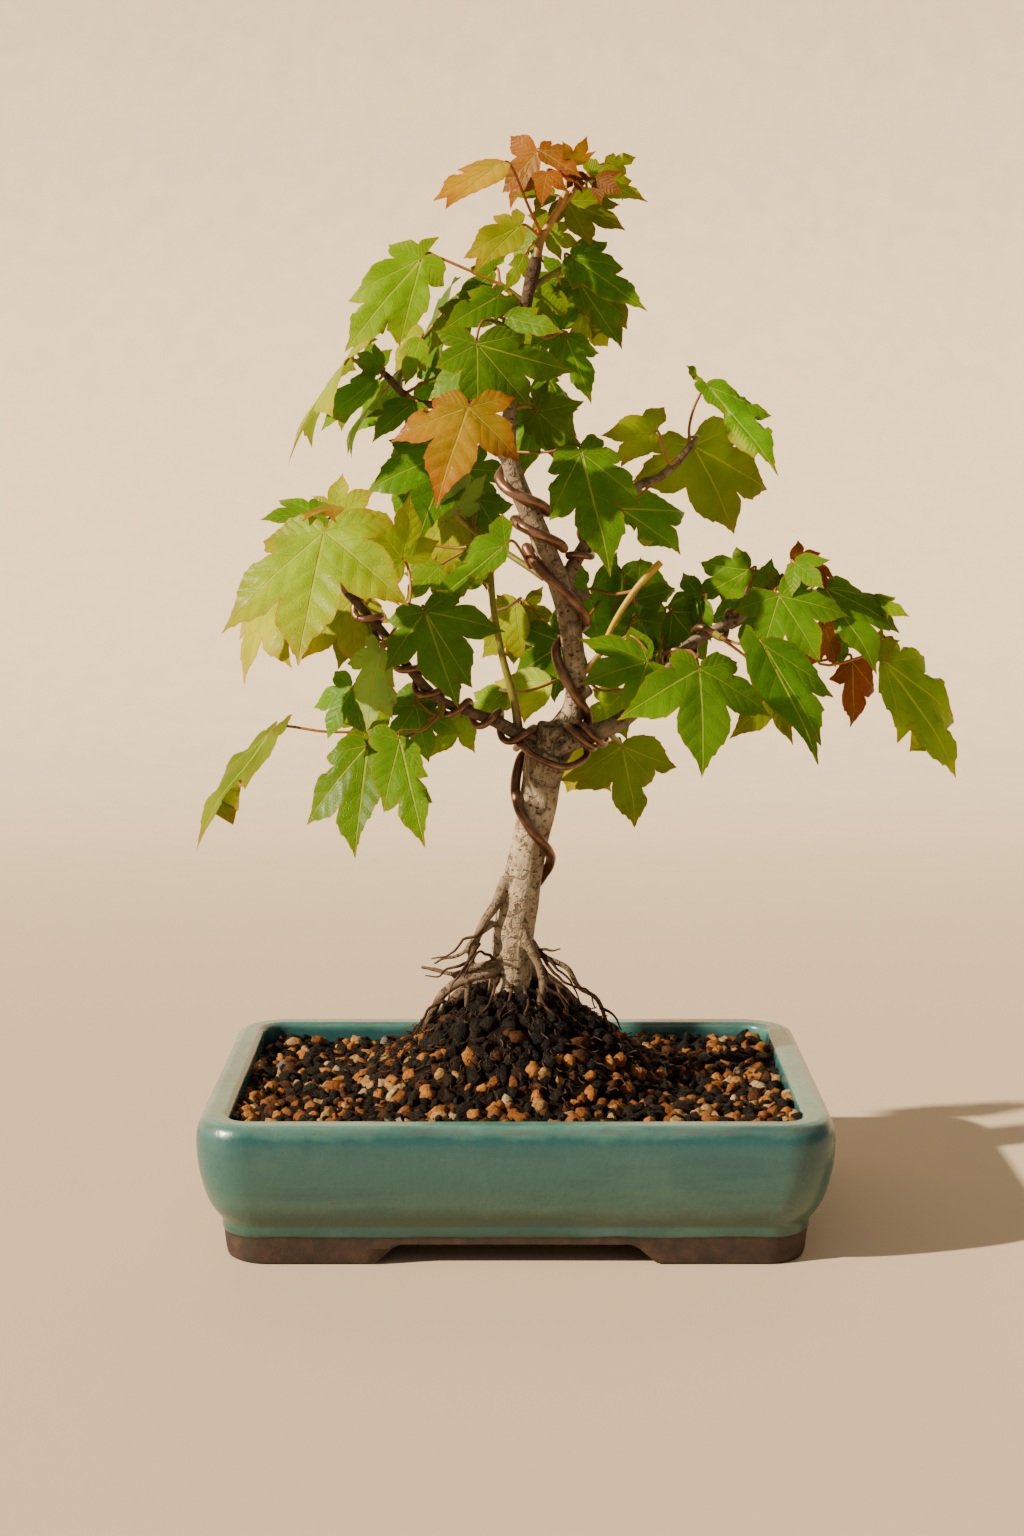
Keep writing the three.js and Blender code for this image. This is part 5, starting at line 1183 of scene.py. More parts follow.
# Leafy shoots. Star-shaped sweetgum leaves of five pointed lobes, or three on small leaves, about
# 0.3 mm thick, dark green to yellow and bronze, on red-brown stalks 1 mm thick and green stems.
# Each shoot holds its stems, as pixels, depths and radii in millimetres, then its leaves. A leaf
# holds its kind, its stalk's points, its joint and its middle tip, and where needed the tips of its
# other lobes as pixels alone, its roll about its middle line in degrees and whether it is small.
SHOOTS = {
    "crown": ([
        [(536, 262, 2, 1.9), (541, 240, 2, 1.7), (553, 218, 1, 1.5), (562, 203, 0, 1.4),
         (567, 190, 0, 1.2)],
        [(552, 220, 1, 1.3), (566, 202, 2, 1.2), (577, 186, 3, 1)],
    ], [
        ("gold", [(543, 237, 2), (530, 210, -5)], (502, 163, -9), (433, 198, -20),
         [(457, 167), (445, 205)], 30),
        ("olive", [(577, 188, 3), (586, 188, 5)], (592, 177, 8), (648, 202, 13),
         [(632, 180), (584, 156)], 20),
        ("yellow", [(576, 188, 3), (594, 176, 14)], (606, 163, 18), (638, 156, 22),
         [(614, 152), (628, 173), (628, 197)]),
        ("olive", [(560, 206, 0)], (553, 194, 4), (511, 195, 7), [], 40, True),
        ("olive", [(565, 203, 2)], (567, 201, 8), (591, 245, 4), [(626, 226), (620, 198), (545, 222)]),
        ("olive", [(542, 239, 2)], (549, 235, 9), (580, 245, 8), [], 30, True),
        ("yellow", [(542, 238, 2)], (520, 226, -5), (464, 255, -14),
         [(476, 268), (494, 212), (517, 205)], 10),
        ("bright", [(540, 243, 2)], (533, 233, 6), (513, 270, 12), [], 30, True),
        ("russet", [(571, 186, 1)], (575, 174, -4), (582, 192, -6), [], 10, True),
        ("bright", [(545, 236, 2), (530, 246, 2)], (524, 256, 2), (504, 292, 5),
         [(508, 264), (529, 279)], 0, True),
        ("olive", [(562, 204, 0)], (548, 214, 10), (531, 236, 14), [], 0, True),
    ]),
    "young_crown": ([
        [(568, 187, 0, 1.2), (569, 180, 0, 1.2), (568, 173, 0, 1)],
    ], [
        ("orange", [(568, 180, 0)], (536, 154, 6), (509, 209, 14), [(508, 134), (501, 192)], 20),
        ("orange", [(568, 178, 0)], (541, 151, -2), (581, 176, -8),
         [(551, 140), (576, 151), (559, 170)]),
        ("gold", [(568, 176, 0)], (572, 162, -6), (588, 138, -10), [], 40, True),
        ("russet", [(569, 180, 0)], (597, 180, -8), (621, 193, -12), [], 20, True),
        ("orange", [(568, 178, 0)], (547, 173, -8), (541, 205, -12), [], 20, True),
    ]),
    "crown_right": ([
        [(529, 290, 2, 1.6), (548, 277, 7, 1.4), (566, 268, 10, 1.3), (575, 272, 12, 1.1)],
    ], [
        ("green", [(566, 268, 10)], (572, 257, 6), (648, 310, 8), [(624, 267), (572, 289), (608, 240)]),
        ("dark", [(575, 272, 12)], (578, 281, 17), (624, 350, 19),
         [(631, 319), (551, 294), (586, 315)]),
        ("olive", [(575, 272, 12), (585, 292, 32)], (583, 313, 38), (610, 349, 44), [], 20),
        ("dark", [(556, 273, 8), (562, 272, 22)], (565, 275, 26), (545, 318, 28)),
        ("green", [(529, 332, 2), (548, 338, 6)], (566, 337, 10), (592, 403, 12),
         [(600, 352), (560, 374)]),
        ("olive", [(566, 268, 10), (585, 280, 24)], (600, 290, 30), (630, 330, 34)),
        ("bright", [(556, 273, 8)], (556, 290, 14), (536, 322, 18), [], 0, True),
    ]),
    "crown_left": ([
        [(526, 304, 2, 1.5), (512, 293, 2, 1.3), (500, 284, 2, 1.1)],
    ], [
        ("bright", [(504, 286, 2), (475, 273, 1), (438, 257, 1)], (422, 258, 0), (344, 349, -4),
         [(399, 342), (348, 296), (388, 242), (439, 236), (444, 283)]),
        ("green", [(500, 284, 2)], (492, 272, 9), (453, 311, 12), [(507, 253), (470, 266)]),
        ("green", [(512, 293, 2), (504, 300, -4)], (497, 297, -10), (440, 330, -16),
         [(469, 288), (523, 304), (504, 284)]),
        ("pale", [(500, 284, 2), (488, 292, 8)], (480, 296, 12), (446, 304, 16),
         [(458, 330), (468, 276)], 0, True),
        ("bright", [(500, 284, 2), (472, 300, 6)], (462, 304, 8), (428, 352, 8),
         [(438, 308), (470, 340)]),
        ("green", [(512, 293, 2), (508, 310, -8)], (506, 318, -14), (562, 330, -18),
         [(528, 346), (538, 306)]),
    ]),
    "front_left": ([
        [(517, 334, 1, 1.4), (504, 326, -10, 1.2), (492, 320, -20, 1.1)],
    ], [
        ("dark", [(492, 320, -20), (482, 322, -26)], (477, 344, -29), (478, 425, -17),
         [(575, 373), (529, 406), (434, 368), (434, 331), (525, 334)]),
        ("dark", [(504, 326, -10)], (474, 361, -14), (462, 424, -14), [], 10),
        ("green", [(516, 334, 1), (530, 334, 10)], (560, 330, 20), (500, 318, 18)),
        ("green", [(504, 326, -4)], (546, 372, 4), (578, 436, 6), [(560, 380), (540, 430)]),
        ("dark", [(516, 334, 1), (512, 400, 12)], (516, 424, 18), (540, 456, 20)),
    ]),
    "bronze_leaf": ([], [
        ("bronze", [(440, 404, 9), (436, 414, -16), (446, 410, -36)], (468, 408, -40), (435, 503, -46),
         [(389, 433), (520, 454), (516, 394), (432, 396)]),
    ]),
    "upper_left": ([
        [(386, 375, 8, 1.4), (372, 365, 8, 1.2), (360, 360, 8, 1)],
        [(398, 387, 9, 1.2), (400, 376, 16, 1.1), (412, 352, 20, 1), (430, 330, 22, 0.9)],
    ], [
        ("yellow", [(366, 362, 8), (353, 359, 10)], (346, 360, 12), (280, 459, 14), [], 62),
        ("green", [(384, 373, 8)], (374, 381, -2), (319, 424, -12), [(339, 424), (357, 370)], 20),
        ("pale", [(388, 378, 8)], (382, 392, 14), (339, 449, 20), [], 62),
        ("green", [(372, 365, 8)], (376, 368, 16), (368, 340, 20), [], 10, True),
        ("green", [(400, 378, 16)], (400, 382, 32), (352, 432, 42), [(376, 428), (372, 388)]),
        ("yellow", [(420, 342, 21)], (424, 336, 36), (392, 372, 42), [], 0, True),
        ("dark", [(430, 330, 22)], (447, 305, 22), (408, 378, 26), [], 55),
        ("green", [(404, 394, 10)], (413, 404, 2), (371, 437, -6), [], 20, True),
        ("green", [(404, 394, 10), (430, 380, 16)], (446, 376, 18), (410, 402, 20)),
        ("bright", [(412, 352, 20)], (420, 340, 12), (404, 386, 14), [(398, 352), (426, 372)]),
        ("green", [(372, 365, 8)], (381, 366, 4), (356, 352, 2), [], 0, True),
    ]),
    "mid_left": ([
        [(544, 578, -2, 1.5), (531, 569, 1, 1.4), (502, 550, 8, 1.3), (474, 531, 14, 1.2),
         (450, 508, 19, 1.1), (434, 484, 23, 1)],
    ], [
        ("green", [(531, 569, 1)], (505, 545, -16), (425, 610, -12),
         [(502, 512), (470, 584), (458, 556)]),
        ("pale", [(470, 528, 15)], (458, 508, 8), (462, 462, 6), [], 40),
        ("yellow", [(474, 531, 14)], (447, 520, 34), (411, 569, 38)),
        ("dark", [(434, 484, 23)], (425, 466, 26), (368, 484, 30), [], 10),
        ("pale", [(444, 500, 20)], (434, 499, 12), (409, 522, 8), [], 30, True),
        ("dark", [(456, 514, 18), (462, 490, 26)], (466, 469, 32), (496, 511, 36)),
        ("green", [(486, 540, 11), (460, 548, 18)], (425, 552, 22), (412, 588, 24), [], 20, True),
        ("dark", [(450, 508, 19), (456, 470, 16)], (452, 450, 12), (366, 488, 16),
         [(388, 435), (414, 544)]),
        ("yellow", [(474, 531, 14), (480, 520, 32)], (478, 514, 40), (388, 566, 46),
         [(402, 512), (442, 604)]),
        ("green", [(474, 531, 14)], (478, 500, 20), (506, 545, 24), [(516, 506), (474, 548)]),
        ("bright", [(486, 540, 11)], (440, 566, 10), (404, 602, 12), [(402, 572), (438, 598)]),
    ]),
    "low_front_left": ([], [
        ("dark", [(403, 660, -17), (414, 632, -30)], (425, 612, -36), (457, 706, -44),
         [(503, 626), (459, 589), (386, 619), (382, 667), (471, 685)]),
    ]),
    "left_tip": ([
        [(346, 591, -28, 1.7), (337, 574, -32, 1.5), (331, 556, -38, 1.3), (327, 538, -44, 1.2)],
    ], [
        ("glossy", [(329, 546, -41)], (325, 532, -62), (296, 663, -74),
         [(213, 624), (403, 596), (390, 516), (260, 537)]),
        ("green", [(328, 540, -43)], (316, 514, -38), (260, 518, -34), [], 30),
        ("gold", [(328, 541, -43)], (335, 507, -50), (301, 516, -56), [], 40, True),
        ("yellow", [(329, 544, -42)], (333, 516, -32), (374, 489, -26), [], 20),
        ("yellow", [(340, 580, -30)], (275, 592, -40), (236, 681, -30), [], 30),
        ("yellow", [(342, 584, -29)], (351, 602, -10), (300, 658, -8)),
        ("olive", [(340, 580, -30), (352, 600, -16)], (364, 606, -10), (336, 668, -6),
         [(308, 628), (378, 652)]),
        ("yellow", [(342, 584, -29)], (366, 560, -18), (400, 606, -14), [(392, 566), (366, 606)]),
    ]),
    "left_middle": ([
        [(388, 638, -20, 1.4), (384, 645, -26, 1.2)],
    ], [
        # Painted sheen: this leaf is of the pale kind so that its whitish colour stands in for the sun's
        # reflection on it.
        ("pale", [(384, 645, -26)], (380, 650, -31), (365, 730, -34),
         [(345, 662), (364, 635), (394, 686), (391, 717)]),
        ("green", [(387, 642, -22), (370, 672, -18)], (352, 688, -18), (325, 738, -14), [], 10),
        ("yellow", [(388, 640, -22), (410, 600, -8)], (403, 560, -2), (360, 505, 2)),
        ("bright", [(388, 642, -22), (392, 690, -2)], (384, 704, 2), (326, 722, 4),
         [(332, 690), (350, 756)]),
        ("green", [(440, 700, -12), (430, 690, 0)], (424, 690, 4), (398, 728, 6), [], 0, True),
    ]),
    "left_low": ([
        [(444, 702, -11, 1.6), (440, 716, -14, 1.4)],
    ], [
        ("green", [(441, 712, -13), (422, 730, -24)], (400, 740, -34), (424, 847, -38),
         [(366, 730), (382, 811), (428, 777)]),
        ("green", [(440, 716, -14), (430, 712, -8)], (416, 706, -4), (428, 763, 0)),
        ("dark", [(440, 716, -14), (404, 738, -14)], (368, 745, -12), (353, 857, -16),
         [(302, 821), (325, 756)]),
        ("olive", [(441, 714, -12), (404, 728, 4), (330, 732, 8)], (270, 733, 10), (188, 845, 14),
         [(289, 711), (271, 720), (249, 740), (209, 784), (241, 787)], 30),
        ("bright", [(440, 716, -14), (452, 712, 4)], (462, 716, 10), (428, 758, 14),
         [(474, 752), (438, 726)]),
    ]),
    "green_shoot": ([
        [(519, 733, -2, 2.1), (514, 700, -5, 1.7), (502, 655, -7, 1.5), (493, 604, -7, 1.4),
         (491, 573, -6, 1.2)],
    ], [
        ("green", [(491, 577, -6)], (489, 569, 2), (466, 584, 4), [], 0, True),
        ("green", [(493, 612, -7)], (482, 580, -2), (452, 560, 4), [], 0, True),
        ("yellow", [(512, 692, -5), (532, 690, 10)], (549, 682, 18), (478, 704, 22),
         [(490, 680), (520, 722)]),
        ("bright", [(512, 692, -5), (500, 690, 14)], (504, 694, 22), (462, 720, 26),
         [(470, 692), (494, 724)]),
        ("yellow", [(493, 612, -7), (510, 606, 20)], (516, 604, 30), (480, 660, 36),
         [(492, 600), (520, 664)]),
    ]),
    "inner": ([
        [(574, 662, 4, 1.5), (566, 648, 16, 1.3), (556, 632, 26, 1.1)],
    ], [
        ("olive", [(556, 632, 26), (540, 618, 32)], (521, 607, 36), (513, 668, 42),
         [(496, 596), (557, 620), (543, 588), (492, 653)]),
        ("dark", [(567, 650, 15)], (565, 643, 22), (513, 676, 26)),
    ]),
    "front_right": ([], [
        ("dark", [(511, 452, -2), (548, 452, -10)], (581, 453, -15), (612, 572, -24),
         [(550, 516), (548, 469), (645, 502), (623, 453), (604, 437)]),
    ]),
    "leader_leaves": ([
        [(509, 412, 1, 1.4), (524, 406, -1, 1.2), (536, 408, -1, 1.1)],
    ], [
        ("dark", [(534, 408, -1)], (538, 412, -5), (579, 447, -8), [], 50),
        ("green", [(530, 407, -1)], (537, 410, 8), (521, 475, 10), [], 20),
        ("bright", [(574, 662, 4), (600, 690, 14)], (622, 694, 20), (582, 732, 24),
         [(624, 742), (590, 690)]),
        ("green", [(572, 640, 4), (600, 600, 16)], (622, 572, 22), (668, 640, 26),
         [(684, 592), (622, 640), (606, 560)]),
    ]),
    "upper_right": ([
        [(692, 445, 17, 1.5), (698, 437, 17, 1.2)],
    ], [
        ("yellow", [(680, 458, 16), (669, 463, 8)], (654, 433, 2), (617, 460, -4),
         [(604, 432), (666, 405), (622, 466)]),
        ("olive", [(694, 438, 17), (698, 436, 28)], (693, 446, 34), (739, 535, 38),
         [(777, 491), (745, 422), (640, 483), (649, 440)]),
        ("green", [(691, 446, 17), (689, 430, 16), (694, 408, 15), (701, 392, 14)],
         (708, 387, 12), (779, 469, 4), [(686, 363), (694, 384), (772, 411), (740, 392), (724, 412)], 10),
        ("green", [(655, 480, 12), (636, 498, 18)], (621, 509, 20), (688, 554, 26),
         [(695, 511), (636, 531)]),
    ]),
    "yellow_shoot": ([
        [(578, 676, 3, 1.8), (589, 667, 1, 1.5), (599, 655, 0, 1.3), (615, 621, -2, 1.2),
         (636, 589, -4, 1.3), (656, 567, -6, 1.6), (661, 562, -6, 1.4)],
    ], [
        ("green", [(634, 591, -4), (612, 594, 6)], (590, 596, 14), (600, 650, 16),
         [(580, 561), (620, 554)]),
        ("dark", [(633, 594, -4)], (636, 599, 10), (641, 557, 14), [(679, 590), (612, 612)]),
        ("green", [(600, 655, 0), (632, 636, -10)], (647, 662, -16), (582, 682, -24), [], 10),
        ("dark", [(601, 652, 0), (622, 640, 8)], (640, 620, 20), (662, 668, 24)),
    ]),
    "right_front": ([], [
        ("dark", [(684, 651, 9), (692, 652, -30)], (699, 669, -56), (705, 774, -66),
         [(623, 712), (777, 710), (740, 659), (672, 651)]),
        ("bright", [(760, 598, 12), (776, 640, 20)], (786, 660, 24), (774, 724, 28),
         [(752, 690), (802, 700)]),
    ]),
    "right_middle": ([
        [(712, 632, 12, 1.5), (722, 638, 0, 1.3)],
    ], [
        ("green", [(722, 638, 0), (742, 644, -14)], (763, 645, -26), (822, 761, -34),
         [(839, 691), (825, 742), (747, 623)]),
        ("olive", [(720, 637, 2), (750, 660, 6)], (776, 687, 6), (794, 745, 8), [(736, 736)]),
        ("dark", [(650, 694, 5), (664, 630, 14)], (672, 612, 16), (712, 664, 18),
         [(722, 612), (668, 664)]),
        ("green", [(650, 694, 5), (690, 640, 18)], (700, 596, 22), (664, 606, 26),
         [(678, 570), (704, 640)]),
        ("dark", [(650, 694, 5)], (660, 654, 22), (610, 668, 26), [(622, 632), (648, 690)]),
    ]),
    "right_behind": ([
        [(748, 609, 13, 1.5), (746, 592, 16, 1.2)],
    ], [
        ("green", [(746, 592, 16)], (749, 570, 18), (694, 600, 22),
         [(697, 563), (720, 602), (734, 547), (773, 580)]),
        ("dark", [(748, 600, 15), (762, 602, 24)], (770, 600, 34), (706, 622, 38)),
    ]),
    "hanging": ([
        [(606, 729, -5, 1.6), (614, 738, 6, 1.3), (620, 744, 18, 1.1)],
    ], [
        ("olive", [(619, 743, 16)], (622, 746, 24), (639, 832, 26),
         [(565, 787), (581, 795), (685, 773), (657, 785)]),
        ("yellow", [(616, 740, 10), (602, 744, 26)], (590, 748, 34), (566, 794, 38)),
    ]),
    "right_tip": ([
        [(786, 575, 10, 1.5), (796, 586, 10, 1.3), (806, 592, 10, 1.2)],
        [(790, 579, 10, 1.2), (794, 566, 8, 1)],
    ], [
        ("green", [(806, 592, 10)], (825, 588, 4), (880, 670, -4),
         [(905, 625), (908, 600), (864, 587), (820, 622)]),
        ("bright", [(797, 587, 10), (806, 620, 12), (820, 664, 14)], (884, 662, 16), (970, 778, 18),
         [(967, 721), (905, 743), (933, 656), (901, 641)]),
        ("russet", [(793, 583, 10), (810, 660, 24)], (852, 662, 28), (855, 731, 32),
         [(832, 681), (880, 695)]),
        ("green", [(792, 581, 10)], (779, 596, -4), (821, 661, -8), [], 20),
        ("green", [(794, 566, 8)], (795, 563, 0), (824, 588, -6), [], 30, True),
        ("green", [(804, 591, 10), (838, 616, 20)], (842, 634, 22), (841, 668, 24), [], 0, True),
        ("russet", [(794, 570, 10)], (818, 566, 4), (826, 590, 2), [], 0, True),
        ("olive", [(786, 575, 10)], (778, 586, 8), (768, 570, 8), [], 0, True),
        ("orange", [(790, 579, 10), (786, 592, 2)], (776, 600, -2), (785, 634, -4), [], 0, True),
        ("olive", [(804, 591, 10), (850, 630, 12)], (872, 650, 12), (900, 640, 10), [], 0, True),
        ("orange", [(806, 592, 10), (816, 606, 14)], (824, 626, 16), (838, 668, 18)),
        ("bright", [(806, 592, 10)], (870, 600, 10), (910, 616, 8), [(896, 596), (886, 622)], 0, True),
        ("russet", [(806, 592, 10), (850, 634, 16)], (886, 640, 18), (892, 660, 20), [], 0, True),
    ]),
    "young_right": ([], [
        ("orange", [(788, 574, 12), (790, 566, 18)], (794, 563, 20), (822, 552, 22), [], 0, True),
    ]),
}
BLADE_LEAN = 0.32
BACK_DEPTH = 12
FACE_OUT = 0.55
FACE_UP = 0.35
CROWN_REACH = 0.1
BLADE_DROOP = 0.22
BLADE_THICKNESS = 0.00034
STALK_JOINT = 0.035
LEAST_NOTCH = 0.15
NOTCH_LIMIT = 0.54
NOTCH_OPENING = 150
NOTCH_REACH = 0.85
BASE_SHARE = 0.34
LEAST_BASE = 0.16
BASE_LIMIT = 0.75
BASE_TURN = 0.55
BASE_TEETH = 0.0001
BROAD_ANGLE = 90
LEAST_SPREAD = 0.3
STALK_BEND = 0.002
STALK_RADIUS = 0.0006
OUTLINE_STEP = 0.0009
LOBE_BULGE = 0.105
TOOTH_HEIGHT = 0.026
TOOTH_SPACING = 0.12
VEIN_SPACING = 0.17
VEIN_FOLD = 0.17
FLAT_MIDDLE = 0.02
WAVE_HEIGHT = 0.03
WAVE_COUNT = 2.6
PLAIN_QUILT = 0.003
RIM_WIDTH = 0.0016
RIM_THINNING = 0.55
NET_MARGIN = 0.6
SHARP_ANGLE = 55
SHELL_MARGIN = 0.0001
LEAF_GLOW = 0.42
BLADE_CELL = 0.0019
# Where no other lobes are seen, the plain ones stand at these angles, with lengths as shares
PLAIN_LOBES = [(46, 0.9), (103, 0.6), (-46, 0.9), (-103, 0.6)]
SMALL_LOBES = [(50, 0.8), (-50, 0.8)]
# Colour of each kind of leaf at its middle and at its rim and tips, and of its stalk
KINDS = {
    "gold": ((0.46, 0.31, 0.002), (0.5, 0.15, 0.003), (0.4, 0.1, 0.015)),
    "olive": ((0.21, 0.29, 0.001), (0.3, 0.27, 0.002), (0.36, 0.13, 0.02)),
    "yellow": ((0.37, 0.44, 0.001), (0.46, 0.38, 0.002), (0.42, 0.16, 0.02)),
    "bright": ((0.2, 0.33, 0.0005), (0.29, 0.34, 0.001), (0.4, 0.16, 0.025)),
    "orange": ((0.33, 0.125, 0.008), (0.3, 0.065, 0.005), (0.34, 0.07, 0.02)),
    "russet": ((0.24, 0.07, 0.006), (0.19, 0.03, 0.005), (0.24, 0.04, 0.015)),
    "green": ((0.115, 0.27, 0.001), (0.18, 0.3, 0.002), (0.32, 0.13, 0.025)),
    # The dark kind's deeper green is partly the leaves' own colour and partly painted shade, for leaves
    # that stand in the shadow of others.
    "dark": ((0.098, 0.22, 0.0005), (0.13, 0.25, 0.001), (0.26, 0.1, 0.02)),
    "bronze": ((0.34, 0.23, 0.008), (0.36, 0.07, 0.006), (0.38, 0.07, 0.015)),
    # The pale kind shows a leaf's paler underside on top; its whitish tint is partly painted sheen, the
    # sun's reflection painted into the colour.
    "pale": ((0.3, 0.46, 0.12), (0.34, 0.46, 0.09), (0.36, 0.24, 0.05)),
    "glossy": ((0.25, 0.36, 0.001), (0.36, 0.26, 0.001), (0.34, 0.08, 0.02)),
}
# Painted shade and painted light for patches of a leaf's face, then colours of its net of fine veins, its
# veins and its rim, and of its underside
LEAF_SHADE = (0.8, 0.84, 0.8, 1)
LEAF_LIGHT = (1.18, 1.14, 1.1, 1)
LEAF_NET = (0.4, 0.46, 0.03, 1)
LEAF_VEIN = (0.62, 0.6, 0.12, 1)
LEAF_RIM = (0.45, 0.17, 0.02, 1)
UNDER_FACE = (0.4, 0.52, 0.2, 1)
UNDER_VEIN = (0.62, 0.62, 0.36, 1)
GLOW_TINT = (1.9, 1.9, 0.3, 1)
# How far these kinds bulge between their veins, as a share of their length
QUILTED = {"glossy": 0.013, "bronze": 0.015}
# Colour of the shoots' stems, green unless the shoot is young
STEM_GREEN = (0.22, 0.2, 0.015)
STEM_BROWN = (0.13, 0.075, 0.025)
STEM_TINTS = {
    "crown": (0.46, 0.22, 0.05), "young_crown": (0.42, 0.13, 0.03), "left_tip": (0.3, 0.12, 0.03),
    "yellow_shoot": (0.55, 0.34, 0.02), "right_tip": (0.42, 0.13, 0.03),
}


def blade_plane(joint, tip, roll):
    """Joint, middle line, side direction, upper face's normal and length of a blade."""
    origin = seen_at(*joint)
    pixels = math.hypot(tip[0] - joint[0], tip[1] - joint[1])
    outward = 1 if joint[2] > BACK_DEPTH else -1
    lean = outward * BLADE_LEAN * pixels * 1000 * (POT_MIDDLE.y - VIEW_POINT.y) / VIEW_FOCUS
    along = seen_at(tip[0], tip[1], tip[2] + lean) - origin
    length = along.length
    along.normalize()
    normal = (VIEW_POINT - origin).normalized()
    normal.x += FACE_OUT * max(-1, min(1, (origin.x - POT_MIDDLE.x) / CROWN_REACH))
    normal.z += FACE_UP
    normal = (normal - along * normal.dot(along)).normalized()
    normal.rotate(Matrix.Rotation(math.radians(roll), 3, along))
    return origin, along, normal.cross(along), normal, length


def lobe_in_plane(plane, pixel):
    """Angle in degrees and reach of a lobe's tip, from the pixel where it is seen."""
    origin, along, side, normal, _ = plane
    line = sight_line(*pixel)
    away = VIEW_POINT + line * ((origin - VIEW_POINT).dot(normal) / line.dot(normal)) - origin
    x, y = away.dot(along), away.dot(side)
    return math.degrees(math.atan2(y, x)), math.hypot(x, y)


def polar(angle, reach):
    return np.array((math.cos(math.radians(angle)), math.sin(math.radians(angle)))) * reach


def flank(inner, tip, side, length, chance):
    """Edge of a lobe from the notch to its tip: a bulge, then a hollow, with a few low teeth."""
    run = tip - inner
    reach = np.linalg.norm(run)
    out = np.array((-run[1], run[0])) / reach * side
    count = max(4, round(reach / OUTLINE_STEP))
    share = np.linspace(0, 1, count, endpoint=False)
    bulge = LOBE_BULGE * reach * (np.sin(math.pi * share) + 0.5 * np.sin(2 * math.pi * share))
    teeth = share * reach / (TOOTH_SPACING * length) + chance.random()
    heights = 0.3 + 0.7 * chance.random(int(teeth[-1]) + 2)
    saw = heights[teeth.astype(int)] * (teeth % 1) ** 1.8
    bulge += TOOTH_HEIGHT * length * saw * np.sin(math.pi * share) ** 0.6
    return inner + share[:, None] * run + bulge[:, None] * out


def blade_outline(length, tips, chance):
    """Closed outline of a blade, and the notches between its lobes."""
    first, last = tips[0], tips[-1]
    stalk = STALK_JOINT * length
    base = []
    for (angle, reach), sign in ((first, -1), (last, 1)):
        spread = max(LEAST_SPREAD, min(1, abs(angle) / BROAD_ANGLE))
        out = spread * max(BASE_SHARE * reach, min(LEAST_BASE * length, BASE_LIMIT * reach))
        base.append(polar(angle + sign * BASE_TURN * (180 - sign * angle), out))
    rows = [flank(np.array((-stalk, -STALK_RADIUS)), base[0], -1, BASE_TEETH, chance)]
    rows.append(flank(base[0], polar(*first), -1, length, chance))
    notches = []
    for (angle, reach), (next_angle, next_reach) in zip(tips, tips[1:]):
        opening = next_angle - angle
        depth = 1 - min(NOTCH_LIMIT, LEAST_NOTCH + opening / NOTCH_OPENING)
        inner = min(math.sqrt(reach * next_reach) * depth, NOTCH_REACH * min(reach, next_reach))
        notch = polar((angle + next_angle) / 2, inner)
        notches.append(notch)
        down = flank(notch, polar(angle, reach), 1, length, chance)
        rows.append(np.vstack([polar(angle, reach), down[:0:-1]]))
        rows.append(flank(notch, polar(next_angle, next_reach), -1, length, chance))
    down = flank(base[1], polar(*last), 1, length, chance)
    rows.append(np.vstack([polar(*last), down[:0:-1]]))
    down = flank(np.array((-stalk, STALK_RADIUS)), base[1], 1, BASE_TEETH, chance)
    rows.append(np.vstack([base[1], down[::-1]]))
    return np.vstack(rows), notches


def blade_net(outline, tips, notches):
    """Points and triangles inside an outline, with edges along the veins and folds."""
    count = len(outline)
    lines = [polar(*tip) for tip in tips] + notches
    points = list(outline) + [np.zeros(2)]
    edges = []
    on_lines = []
    for end in lines:
        steps = max(2, round(np.linalg.norm(end) / BLADE_CELL))
        last = int(np.argmin(np.linalg.norm(outline - end, axis=1)))
        before = count
        for step in range(1, steps):
            on_lines.append(end * step / steps)
            points.append(on_lines[-1])
            edges.append((before, len(points) - 1))
            before = len(points) - 1
        edges.append((before, last))
    low, high = outline.min(axis=0), outline.max(axis=0)
    row_step = BLADE_CELL * math.sqrt(3) / 2
    taken = np.vstack([outline, np.array(on_lines), np.zeros((1, 2))])
    for row, y in enumerate(np.arange(low[1], high[1], row_step)):
        for x in np.arange(low[0] + BLADE_CELL / 2 * (row % 2), high[0], BLADE_CELL):
            if np.min(np.hypot(taken[:, 0] - x, taken[:, 1] - y)) > NET_MARGIN * BLADE_CELL:
                points.append(np.array((x, y)))
    millimetres = [Vector(point * 1000) for point in points]
    net = geometry.delaunay_2d_cdt(millimetres, edges, [tuple(range(count))], 1, 1e-4)
    return np.array([tuple(v) for v in net[0]]) / 1000, [tuple(face) for face in net[2]]


class Shell:
    """Gathers the points, faces, colours and lobe coordinates of one piece."""

    def __init__(self):
        self.points, self.tints, self.rims = [], [], []
        self.faces, self.kinds, self.places = [], [], []

    def add(self, points, tints, rims, faces, kinds, places):
        first = len(self.points)
        self.points += [tuple(point) for point in points]
        self.tints += [(*tint, 1) for tint in tints]
        self.rims += list(rims)
        self.faces += [tuple(first + v for v in face) for face in faces]
        self.kinds += list(kinds)
        self.places += [place for corners in places for place in corners]


